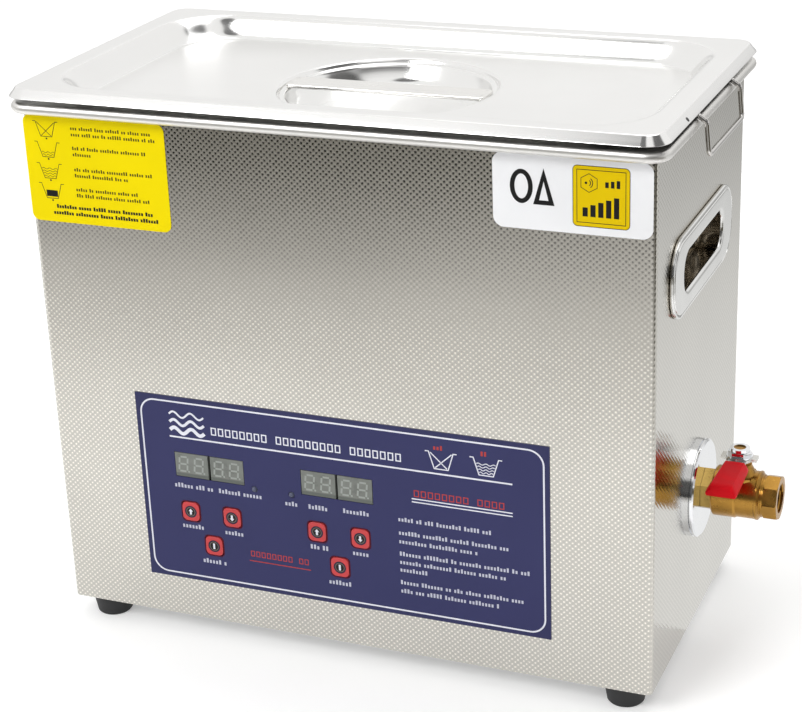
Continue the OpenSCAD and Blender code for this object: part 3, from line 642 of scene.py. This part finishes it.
def make_tank(m):
    low, high = span("tank")
    width, depth = high.x - low.x, high.y - low.y
    floor = span("drain_gasket")[0].z
    bead_z = high.z - BEAD
    flange = high.z - 0.25
    shape = Shape()
    loops = []

    def add(outline, z):
        loops.append([(x, y, z) for x, y in lid_outline(*outline)])

    def inset(e):
        return (width - 2 * e, depth - 2 * e, max(TANK_CORNER - e, 6))

    for x, z in fillet((BEAD, bead_z), BEAD, -20, -270, 22):
        add(inset(x), z)
    add(inset(BEAD + 1.6), flange)
    bend = 2.2
    add([v + 2 * (bend + 2) for v in MOUTH[:2]] + [MOUTH[2]], flange)
    for x, z in fillet((bend, flange - bend), bend, 90, 180, 5):
        add((MOUTH[0] + 2 * x, MOUTH[1] + 2 * x, MOUTH[2] + x), z)
    for x, z in fillet((3, STEP_Z + 3), 3, 180, 270, 5):
        add((MOUTH[0] - 2 * x, MOUTH[1] - 2 * x, MOUTH[2] - x), z)
    for x, z in fillet((1.6, STEP_Z - 1.6), 1.6, 90, 180, 4):
        add((WELL[0] + 2 * x, WELL[1] + 2 * x, WELL[2] + x), z)
    for x, z in fillet((FLOOR_FILLET, floor + FLOOR_FILLET), FLOOR_FILLET, 180, 270, 8):
        add((WELL[0] - 2 * x, WELL[1] - 2 * x, WELL[2] - x), z)
    rings = shape.loft(loops)
    drain = middle("drain_outlet")
    hole = circle(DRAIN_HOLE, 48, (drain.x, drain.y))
    hole_ring = shape.ring([(x, y, floor) for x, y in hole])
    edge = rings[-1]
    half, hole_half = len(edge) // 2, len(hole) // 2
    front = edge[half:] + [edge[0]]
    back = edge[:half + 1]
    shape.faces.append(tuple(back) + tuple(reversed(hole_ring[:hole_half + 1])))
    shape.faces.append(tuple(front) + (hole_ring[0],) + tuple(reversed(hole_ring[hole_half:])))
    piece("tank_shell", "root", m["tank_steel"], shape, TANK_WALL, 50, ["tank"])


# ---------- basket ----------

MESH_PITCH = 7.5
MESH_WIRE = 0.55                             # radius
FRAME_WIRE = 1.1
BASKET_INSET = 2.4                           # from the CAD tray's size to the middle of the frame wires
BASKET_CORNER = 17


def make_basket(m):
    low, high = span("basket")
    width, depth = high.x - low.x - BASKET_INSET, high.y - low.y - BASKET_INSET
    corner = BASKET_CORNER
    bottom, top = low.z + FRAME_WIRE, high.z - FRAME_WIRE
    wires, edges = Shape(), Shape()

    def outline_at(w, d, r):
        return rounded_rect(w, d, r, arc=6, short=3, long=6)

    for z in (bottom, (bottom + top) / 2, top):
        edges.tube([(x, y, z) for x, y in outline_at(width, depth, corner)], FRAME_WIRE, 8, True)
    rows = int((top - bottom) / MESH_PITCH)
    for k in range(1, rows):
        z = bottom + (top - bottom) * k / rows
        wires.tube([(x, y, z) for x, y in outline_at(width - 0.5, depth - 0.5, corner)], MESH_WIRE, 6, True)
    path = [Vector(p) for p in rounded_rect(width + 0.5, depth + 0.5, corner, arc=12, short=12, long=12)]
    total = sum((b - a).length for a, b in zip(path, path[1:] + path[:1]))
    count = round(total / MESH_PITCH)
    walked, target = 0.0, 0.0
    for a, b in zip(path, path[1:] + path[:1]):
        length = (b - a).length
        while target < walked + length - 1e-6:
            p = a + (b - a) * ((target - walked) / length)
            wires.tube([(p.x, p.y, bottom), (p.x, p.y, top)], MESH_WIRE, 6)
            target += total / count
        walked += length
    hx, hy = width / 2, depth / 2

    def reach(offset, half, other):
        """Half-length of a floor wire that lies offset from the middle."""
        over = max(0.0, offset - (other - corner))
        return half - corner + math.sqrt(max(0.0, corner ** 2 - over ** 2))

    nx, ny = int(hx / MESH_PITCH), int(hy / MESH_PITCH)
    for k in range(-nx, nx + 1):
        x = k * MESH_PITCH
        y = reach(abs(x), hy, hx)
        wires.tube([(x, -y, bottom - 0.3), (x, y, bottom - 0.3)], MESH_WIRE, 6)
    for k in range(-ny, ny + 1):
        y = k * MESH_PITCH
        x = reach(abs(y), hx, hy)
        wires.tube([(-x, y, bottom + 0.3), (x, y, bottom + 0.3)], MESH_WIRE, 6)
    piece("basket_mesh", "basket", m["basket_steel"], wires, replaced=["basket"])
    piece("basket_frame", "basket", m["basket_steel"], edges)


HOOK_HALF = 32                               # half the distance between a hook's two legs
# x and z of one leg, from its foot to the bar between the legs
HOOK_LEG = ((139.4, 225), (139.4, 260), (149.4, 280.5), (149.4, 287.85), (164.6, 287.85),
            (168.9, 284.9), (170.3, 269.6))
HOOK_BEND = 2.5
HOOK_WIRE = 1.27                             # radius


def make_hooks(m):
    for side, sign in (("left", -1), ("right", 1)):
        node = "basket_hook_" + side
        leg = [(sign * x, HOOK_HALF, z) for x, z in HOOK_LEG]
        path = leg + [(x, -y, z) for x, y, z in reversed(leg)]
        shape = Shape()
        shape.tube(bent(path, HOOK_BEND, 8), HOOK_WIRE, 20)
        piece("hook_wire_" + side, "basket", m["wire_steel"], shape, replaced=[node])


# ---------- side grips ----------

GRIP_OUT = (113, 39.5, 17)                   # length, height and corner
GRIP_IN = (75, 19.5, 8.5)
GRIP_PROUD = 2.5
CUP_DEPTH = 12
GRIP_WALL = 0.9


def make_grips(m):
    for side, sign in (("left", -1), ("right", 1)):
        node = "side_grip_" + side
        centre = middle(node)
        wall = span("casing")[1].x
        loops = []

        def add(size, grow, proud):
            length, height, corner = size[0] + 2 * grow, size[1] + 2 * grow, size[2] + grow
            outline = rounded_rect(length, height, corner, arc=10, short=5, long=10)
            loops.append([(sign * (wall + proud), centre.y + sign * y, centre.z + z) for y, z in outline])

        add(GRIP_OUT, -0.15, 0.02)
        add(GRIP_OUT, 0, 0.5)
        for x, z in fillet((1.0, 1.0), 1.0, 180, 90, 4):
            add(GRIP_OUT, -x, z + 0.2)
        add(GRIP_OUT, -1.5, 1.2)
        for x, z in fillet((2.9, 1.5), 1.0, 180, 90, 4):
            add(GRIP_OUT, -x, z)
        add(GRIP_OUT, -5, GRIP_PROUD)
        add(GRIP_IN, 3.2, GRIP_PROUD)
        for x, z in fillet((2.0, GRIP_PROUD - 2.0), 2.0, 90, 180, 6):
            add(GRIP_IN, x, z)
        cup_floor = GRIP_PROUD - CUP_DEPTH - 2
        for x, z in fillet((3, cup_floor + 3), 3.0, 180, 270, 6):
            add(GRIP_IN, -x, z)
        shape = Shape()
        shape.loft(loops, last_cap=True)
        piece("grip_cup_" + side, "root", m["grip_steel"], shape, GRIP_WALL, 50, [node])


# ---------- drain valve ----------

SLEEVE_TAPER = 0.862                         # its width at the stem over its width at the tip
SLEEVE_ROUND = 3                             # length of its rounded ends


def make_sleeve(m):
    """The lever's dipped grip: it widens to its tip and has a flat top and sloping flanks."""
    low, high = span("lever_sleeve")
    x_mid = (low.x + high.x) / 2
    half, top, foot = (high.x - low.x) / 2, high.z, low.z
    length = high.y - low.y
    shape = Shape()
    loops = []
    count = 16
    for k in range(count + 1):
        t = k / count
        way = 0.5 - 0.5 * math.cos(math.pi * t)
        y = high.y - length * way
        end = min(way, 1 - way) * length
        into = max(0.0, SLEEVE_ROUND - end) / SLEEVE_ROUND
        shrink = math.sqrt(max(0.02, 1 - into ** 2))
        wide = half * (SLEEVE_TAPER + (1 - SLEEVE_TAPER) * way) * (0.9 + 0.1 * shrink)
        rise = (top - foot) * (0.55 + 0.45 * shrink)
        section = [(wide * 0.98, foot), (wide, foot + 0.3), (wide, foot + rise * 0.33),
                   (wide * 0.72, foot + rise * 0.95), (wide * 0.66, foot + rise), (0, foot + rise)]
        smooth = eased([(x, z, 0) for x, z in section[:-1]], 3) + [Vector((0, foot + rise, 0))]
        right = [(x_mid + p.x, y, p.y) for p in smooth]
        left = [(2 * x_mid - p[0], p[1], p[2]) for p in reversed(right[:-1])]
        loops.append(right + left)
    shape.loft(list(reversed(loops)), True, True)
    piece("lever_grip", "valve_handle", m["sleeve_red"], shape, 0, 50, ["lever_sleeve"])


def make_outlet_thread(m):
    """Pipe thread ridges inside the valve's outlet."""
    mouth = span("valve_end_cap")[1].x
    z = frame["record"]["mounts"][2]["pos_m"][2] / MM
    shape = Shape()
    pitch, turns, sides = 1.34, 6, 40
    rings = []
    for k in range(turns * sides):
        a = 2 * math.pi * k / sides
        x = mouth - 0.6 - pitch * k / sides
        rings.append(shape.ring([(x + dx, r * math.cos(a), z + r * math.sin(a))
                                 for dx, r in ((0.5, 7.52), (0.0, 6.9), (-0.5, 7.52))]))
    for a, b in zip(rings, rings[1:]):
        shape.strip(a, b)
    shape.faces.append(tuple(rings[0]))
    shape.faces.append(tuple(reversed(rings[-1])))
    piece("outlet_thread", "root", m["brass"], shape)


# ---------- control panel ----------

KEYS = {"key_temp_up": "up", "key_temp_down": "down", "key_heat": "bar",
        "key_time_up": "up", "key_time_down": "down", "key_wash": "bar"}
KEY_CORNER = 2.6
KEY_FLANGE = 1.5                             # how far the flange behind the film sticks out round a key
ARROW = ((0, 1.75), (-1.25, 0.25), (-0.55, 0.25), (-0.55, -1.6), (0.55, -1.6), (0.55, 0.25), (1.25, 0.25))
PRINT_HEIGHT = 0.05
# name, ink, height over PRINT_HEIGHT, outer and inner radius
KEY_RINGS = (("ring", "ink_ring", 1.0, 3.35, 2.6), ("disc", "key_disc", 0.7, 2.59, 2.15),
             ("core", "key_core", 0.7, 2.14, 0))


def key_size(node):
    """Width and height of the part of a key that shows."""
    low, high = span(node)
    return high.x - low.x - 2 * KEY_FLANGE, high.z - low.z - 2 * KEY_FLANGE


def make_keys(m):
    for node, symbol in KEYS.items():
        low, high = span(node)
        centre = (low + high) / 2
        width, height = key_size(node)
        face = low.y
        shape = Shape()
        loops = []

        def add(grow, y):
            outline = rounded_rect(width + 2 * grow, height + 2 * grow, KEY_CORNER + grow, 6, 2, 2)
            loops.append([(centre.x + u, y, centre.z + v) for u, v in outline])

        back = face + 2.1
        add(KEY_FLANGE, back + 1.1)
        add(KEY_FLANGE, back)
        add(0, back - 0.01)
        for x, y in fillet((0.35, face + 0.4), 0.35, 180, 270, 4):
            add(-x, y)
        add(-1.4, face)
        shape.loft(loops, True, True)
        stem = [[(centre.x + u, y, centre.z + v) for u, v in circle(2, 20)] for y in (high.y, back + 1.0)]
        shape.loft(stem, True, True)
        piece("cap_" + node, node, m["key_red"], shape, replaced=[node])

        for name, ink, rise, outer, inner in KEY_RINGS:
            ring = Print(centre.x, centre.z, face, PRINT_HEIGHT * rise)
            if inner:
                ring.band(circle(outer, 36), circle(inner, 36))
            else:
                ring.area(circle(outer, 36))
            piece(name + "_" + node, node, m[ink], ring)
        mark = Print(centre.x, centre.z, face, PRINT_HEIGHT * 1.6)
        if symbol == "bar":
            mark.area(box_outline(-0.55, -1.6, 0.55, 1.6))
        elif symbol == "up":
            mark.area(ARROW)
        else:
            mark.area([(u, -v) for u, v in reversed(ARROW)])
        piece("mark_" + node, node, m["ink_white"], mark)


def tank_icon(ink, u, v, width, height, stroke, sign):
    """A tank in section, with waves, a cross or a filled block in it."""
    lip, slope = width * 0.11, width * 0.17
    ink.stroke([(u, v + height), (u + lip, v + height), (u + lip + slope, v), (u + width - lip - slope, v),
                (u + width - lip, v + height), (u + width, v + height)], stroke)
    inner0, inner1 = u + lip + slope + stroke, u + width - lip - slope - stroke
    if sign == "cross":
        ink.stroke([(inner0, v + stroke), (inner1 + slope * 0.9, v + height * 0.95)], stroke)
        ink.stroke([(inner1, v + stroke), (inner0 - slope * 0.9, v + height * 0.95)], stroke)
    elif sign == "block":
        ink.area(box_outline(inner0 - 0.4, v + height * 0.12, inner1 + 0.4, v + height * 0.55))
    else:
        rows = {"low": 2, "full": 4}[sign]
        for k in range(rows):
            level = v + height * (0.14 + 0.17 * k)
            out = slope * (0.14 + 0.17 * k)
            a, b = inner0 - out, inner1 + out
            points = [(a + (b - a) * i / 24, level + height * 0.045 * math.sin(i / 24 * 5 * math.pi))
                      for i in range(25)]
            ink.stroke(points, stroke * 0.75)


def boxes(ink, u, v, width, height, stroke, count):
    """A heading as a row of hollow placeholder boxes."""
    pitch = width / count
    gap = pitch * 0.26
    for k in range(count):
        if k in (8, 18):
            continue
        a, b = u + k * pitch, u + (k + 1) * pitch - gap
        ink.band(box_outline(a, v, b, v + height),
                 box_outline(a + stroke, v + stroke, b - stroke, v + height - stroke))


# length and height of each line of the text block; place and length of each caption
PARAGRAPHS = ((49.1, 53.6), (59.1, 46.2), (42.3, 41.4), (70.3, 34.5), (56.0, 29.9), (17.2, 25.6),
              (65.2, 18.5), (52.8, 13.7))
CAPTIONS = ((18.9, 54.1, 23), (44, 54.1, 24.8), (81.2, 52.9, 7.9), (94, 52.9, 10.8), (112.9, 53.5, 14.4),
            (21.5, 31.2, 13), (45.9, 30.9, 10.9), (31.8, 12.4, 14.1), (93.9, 30.5, 11), (117.1, 30.7, 9.5),
            (103.2, 12.1, 14.3))


def make_panel_prints(m):
    low, high = span("panel_overlay")
    face = low.y
    width, height = high.x - low.x, high.z - low.z

    def lay(name, ink, shape):
        piece(name, "root", m[ink], shape)

    centre = low.x + width / 2, low.z + height / 2
    margin = Print(*centre, face, 0.02)
    margin.band(rounded_rect(width - 0.1, height - 0.1, 0.2, 6, 4, 8),
                rounded_rect(width - 5, height - 4.8, 8, 6, 4, 8))
    lay("panel_margin", "navy_dark", margin)
    border = Print(*centre, face, PRINT_HEIGHT)
    border.band(rounded_rect(width - 4.8, height - 4.6, 8.2, 10, 4, 8),
                rounded_rect(width - 6.5, height - 6.3, 7.4, 10, 4, 8))
    lay("panel_border", "ink_white", border)

    white = Print(low.x, low.z, face, PRINT_HEIGHT)
    for k in range(3):
        v = 85.2 + 4.4 * k
        wave = [(18.8 + 19.4 * i / 40, v + 1.5 * math.sin(i / 40 * 4 * math.pi)) for i in range(41)]
        white.stroke(wave, 1.9 - 0.45 * k)
    boxes(white, 42, 85.1, 104.2, 4.3, 0.62, 26)
    white.stroke([(18.2, 81.5), (202.1, 81.5)], 0.85)
    white.stroke([(150, 66.1), (202, 66.1)], 0.6)
    white.stroke([(150, 64.4), (202, 64.4)], 0.6)
    tank_icon(white, 157.8, 84.1, 16.3, 9, 0.55, "cross")
    tank_icon(white, 180.7, 84.1, 16.5, 9, 0.55, "full")
    lay("panel_print_white", "ink_white", white)

    outline = Print(0, 0, face, PRINT_HEIGHT * 0.5)
    for node in KEYS:
        at, (key_w, key_h) = middle(node), key_size(node)
        outline.band(*[[(at.x + u, at.z + v)
                        for u, v in rounded_rect(key_w + 2 * g, key_h + 2 * g, 2 + g, 6, 2, 2)]
                       for g in (0.85, 0.36)])
    lay("key_outlines", "key_edge", outline)

    text = Print(low.x, low.z, face, PRINT_HEIGHT)
    for length, v in PARAGRAPHS:
        text.text(142.5, v - 1.0, length, 2.3)
    for u, v, length in CAPTIONS:
        text.text(u, v - 1.0, length, 2.5)
    lay("panel_print_text", "ink_text", text)

    red = Print(low.x, low.z, face, PRINT_HEIGHT)
    boxes(red, 151.2, 67.3, 47.6, 3.6, 0.5, 13)
    boxes(red, 59.7, 19.4, 33.2, 3.2, 0.45, 11)
    red.stroke([(58.7, 16.8), (93.2, 16.8)], 0.5)
    red.text(162.2, 94.2, 8, 2.4)
    red.text(186.4, 94.2, 5, 2.4)
    lay("panel_print_red", "ink_red", red)


DISPLAY_X = (-81.55, -61.6, -11.0, 8.8)      # middle of each two-digit module
MODULE_HALF = 9.2
DIGIT_WIDTH = 4.6
DIGIT_HEIGHT = 8.0
DIGIT_PITCH = 8.7
DIGIT_START = 7.4                            # from the first digit's left side to the module's middle
DIGIT_SLANT = 0.1
DIGIT_RISE = 0.4                             # of the digits over the module's middle
SEGMENTS = (((0, 1), (1, 1)), ((1, 1), (1, 0.5)), ((1, 0.5), (1, 0)), ((1, 0), (0, 0)), ((0, 0), (0, 0.5)),
            ((0, 0.5), (0, 1)), ((0, 0.5), (1, 0.5)))


def make_displays(m):
    low, high = span("display_modules")
    face = low.y
    foot = -(high.z - low.z) / 2
    segments = Print(0, (low.z + high.z) / 2, face, 0.03)
    dark = Print(0, (low.z + high.z) / 2, face, 0.02)

    def corner(u0, u, v):
        return Vector((u0 + DIGIT_WIDTH * u + DIGIT_SLANT * DIGIT_HEIGHT * v,
                       DIGIT_HEIGHT * (v - 0.5) + DIGIT_RISE))

    for module in DISPLAY_X:
        for k in (0, 1):
            u0 = module - DIGIT_START + DIGIT_PITCH * k
            for start, end in SEGMENTS:
                a, b = corner(u0, *start), corner(u0, *end)
                way = (b - a).normalized() * 0.55
                segments.stroke([tuple(a + way), tuple(b - way)], 1.0)
            segments.area(circle(0.55, 14, (u0 + DIGIT_WIDTH + 1.0, -DIGIT_HEIGHT / 2 + DIGIT_RISE)))
        dark.area(box_outline(module - MODULE_HALF, foot + 0.05, module + MODULE_HALF, foot + 1.9))
    piece("display_segments", "root", m["segment"], segments)
    piece("display_shade", "root", m["display_dark"], dark)


# ---------- labels ----------

LABEL_FOOT = 225.3                           # height of the yellow label's lower edge
GOLD_AT = (134.8, 262.4)                     # middle of the gold field on the white label
GOLD_SIZE = (26.4, 28.4)
GOLD_CORNER = 2.2
RING_AT, WEDGE_AT = -37.1, -26.6             # the two marks, from the gold field's middle


def make_labels(m):
    node = NODES["front_labels"]
    low = span("front_labels")[0]
    face = low.y
    node.data.materials.clear()
    node.data.materials.append(m["label_film"])
    node.data.materials.append(m["label_white"])
    for polygon in node.data.polygons:
        polygon.material_index = 1 if polygon.center.x > 0 else 0

    black = Print(low.x, LABEL_FOOT, face, 0.03)
    olive = Print(low.x, LABEL_FOOT, face, 0.03)
    for sign, v in (("cross", 43.7), ("low", 33.3), ("full", 22.4), ("block", 12.1)):
        tank_icon(black, 5.5, v, 14.2, 7.6, 0.32, sign)
        black.area(circle(0.5, 12, (12.6, v - 1.0)))
    for v, first, second in ((48.0, 45.2, 46.8), (37.9, 41.6, 10.5), (27.1, 44.6, 30.4), (16.9, 35.4, 41.8)):
        olive.text(26.6, v, first, 1.8)
        olive.text(26.6, v - 3.1, second, 1.8)
    black.text(14.5, 7.3, 55, 2.0, True)
    black.text(12.5, 4.0, 59, 2.0, True)
    piece("label_print_black", "root", m["ink_black"], black)
    piece("label_print_text", "root", m["ink_olive"], olive)

    gold = Print(*GOLD_AT, face, 0.04)
    edge = rounded_rect(*GOLD_SIZE, GOLD_CORNER, 5, 2, 2)
    gold.area(edge)
    piece("label_gold", "root", m["label_gold"], gold)
    mark = Print(*GOLD_AT, face - 0.04, 0.03)
    mark.band(edge, rounded_rect(GOLD_SIZE[0] - 0.6, GOLD_SIZE[1] - 0.6, 1.9, 5, 2, 2))
    mark.stroke(box_outline(-11.2, -12.2, 11.2, 12.2), 0.3, True)
    hexagon = [(-5.6 + 4.3 * math.cos(a), 6.2 + 4.3 * math.sin(a))
               for a in (math.pi / 6 + math.pi / 3 * k for k in range(6))]
    mark.stroke(hexagon, 0.3, True)
    for r in (1.5, 2.5):
        arc = [(-6.4 + r * math.cos(math.radians(a)), 6.2 + r * math.sin(math.radians(a)))
               for a in range(-55, 56, 11)]
        mark.stroke(arc, 0.4)
    mark.area(circle(0.6, 14, (-7.0, 6.2)))
    for k in range(3):
        mark.area(box_outline(1.8 + 2.6 * k, 4.6, 3.4 + 2.6 * k, 7.2 + 0.5 * k))
    for k in range(5):
        mark.area(box_outline(-8.6 + 3.6 * k, -9.4, -6.2 + 3.6 * k, -5.2 + 1.35 * k))
    mark.band(*[[(RING_AT + r * u, 2.2 + (r + 2.6) * v) for u, v in circle(1, 48)] for r in (5.4, 3.2)])
    mark.stroke([(WEDGE_AT - 3.6, -4.8), (WEDGE_AT + 3.6, -4.8), (WEDGE_AT, 8.2)], 2.1, True)
    piece("label_marks", "root", m["ink_black"], mark)


# ---------- room ----------

def make_floor():
    """A white sheet, lit a little from below so that shadows on it stay faint."""
    mesh = bpy.data.meshes.new("floor")
    r = 6.0
    mesh.from_pydata([(-r, -r, 0), (r, -r, 0), (r, r, 0), (-r, r, 0)], [], [(0, 1, 2, 3)])
    floor = bpy.data.objects.new("floor", mesh)
    g = Graph("floor")
    g.set(Base_Color=g.blend(g.noise(3, 2), (0.8, 0.8, 0.8), (0.82, 0.82, 0.82)), Roughness=0.6,
          Specular_Ior_Level=0.1, Emission_Color=(1, 1, 1, 1), Emission_Strength=0.28)
    mesh.materials.append(g.material)
    bpy.context.scene.collection.objects.link(floor)


CARD_Z = 0.002                               # metres over the floor


def make_card(name, area, axis, near, far, near_colour, far_colour, right_lift=0.0):
    """A sheet just over the floor that only shows in reflections; its glow changes along one axis.

    area is (x0, y0, x1, y1) in metres; right_lift keeps its right part nearer to near_colour.
    """
    mesh = bpy.data.meshes.new(name)
    mesh.from_pydata([(x, y, CARD_Z) for x, y in box_outline(*area)], [], [(0, 1, 2, 3)])
    card = bpy.data.objects.new(name, mesh)
    material = bpy.data.materials.new(name)
    material.use_nodes = True
    material.node_tree.nodes.clear()
    t = Nodes(material.node_tree)
    place = t.axes("Object")
    away = t.ramp(place[axis], near, far)
    lift = t.ramp(place[0], -0.32, 0.05, 0.0, right_lift)
    glow = t.add("ShaderNodeEmission")
    kept = t.math("SUBTRACT", away, lift, clamp=True)
    t.link(t.blend(kept, near_colour, far_colour), glow.inputs["Color"])
    t.link(glow.outputs[0], t.add("ShaderNodeOutputMaterial").inputs[0])
    mesh.materials.append(material)
    bpy.context.scene.collection.objects.link(card)
    for ray in ("camera", "diffuse", "transmission", "volume_scatter", "shadow"):
        setattr(card, "visible_" + ray, False)


def area_light(name, at, aim, size, power):
    data = bpy.data.lights.new(name, "AREA")
    data.shape = "RECTANGLE"
    data.size, data.size_y = size
    data.energy = power
    light = bpy.data.objects.new(name, data)
    light.location = at
    light.rotation_euler = (Vector(aim) - Vector(at)).to_track_quat("-Z", "Y").to_euler()
    bpy.context.scene.collection.objects.link(light)


# way to each dark spot, and its radius in degrees
DARK_SPOTS = (((0.7, -0.02, 0.68), 24), ((-0.08, -0.53, 0.84), 13))


def make_world():
    """White on the left, behind and above; darker low in front and in two spots, as a studio is."""
    world = bpy.data.worlds.new("studio")
    bpy.context.scene.world = world
    world.use_nodes = True
    t = Nodes(world.node_tree)
    x, y, z = t.axes("Generated")
    front = t.ramp(y, -0.75, 0.05)
    above = t.ramp(z, 0.48, 0.74)
    left = t.ramp(x, -0.3, -0.5)
    level = t.ramp(t.math("MAXIMUM", t.math("MAXIMUM", front, above), left), 0.0, 1.0, 0.14, 1.0)
    level = t.math("MULTIPLY", level, t.ramp(z, 0.04, 0.24, 0.6, 1.0))
    for way, radius in DARK_SPOTS:
        toward = t.add("ShaderNodeVectorMath", operation="DOT_PRODUCT")
        t.link(t.coords.outputs["Generated"], toward.inputs[0])
        toward.inputs[1].default_value = Vector(way).normalized()
        edge, core = math.cos(math.radians(radius)), math.cos(math.radians(radius * 0.7))
        level = t.math("MULTIPLY", level, t.ramp(toward.outputs["Value"], edge, core, 1.0, 0.15))
    background = t.tree.nodes["Background"]
    t.link(level, background.inputs["Strength"])
    background.inputs["Color"].default_value = (1.0, 0.995, 0.985, 1)


def make_room():
    make_floor()
    make_world()
    white, brown = (1.0, 0.99, 0.97), (0.11, 0.1, 0.072)
    make_card("front_sheet", (-4, -5, 0.42, -0.4), 1, -0.45, -1.0, white, brown, 0.3)
    make_card("right_sheet", (0.42, -5, 4, 0), 0, 0.42, 0.8, white, brown)
    make_card("back_sheet", (-4, 0, 4, 5), 1, 0.1, 1.3, (0.95, 0.95, 0.94), (0.5, 0.5, 0.49))
    area_light("softbox", (-0.9, -1.9, 1.9), (0, 0, 0.15), (1.2, 1.0), 32)
    area_light("top_light", (0.3, 0.5, 2.4), (0, 0, 0.1), (2.0, 1.6), 14)
    scene = bpy.context.scene
    scene.view_settings.view_transform = "Standard"
    scene.view_settings.look = "None"


# ---------- assembly ----------

def dress_cad_nodes(m):
    slots = {row["node"]: row["material_slot"] for row in frame["record"]["subparts"]}
    for name, obj in NODES.items():
        obj.data.materials.clear()
        obj.data.materials.append(m[slots[name]])


random.seed(7)
make_camera()
make_materials()
dress_cad_nodes(FINISHES)
for make in (make_lid, make_lid_bar, make_tank, make_basket, make_hooks, make_grips, make_sleeve,
             make_outlet_thread, make_keys, make_panel_prints, make_displays, make_labels):
    make(FINISHES)
make_room()
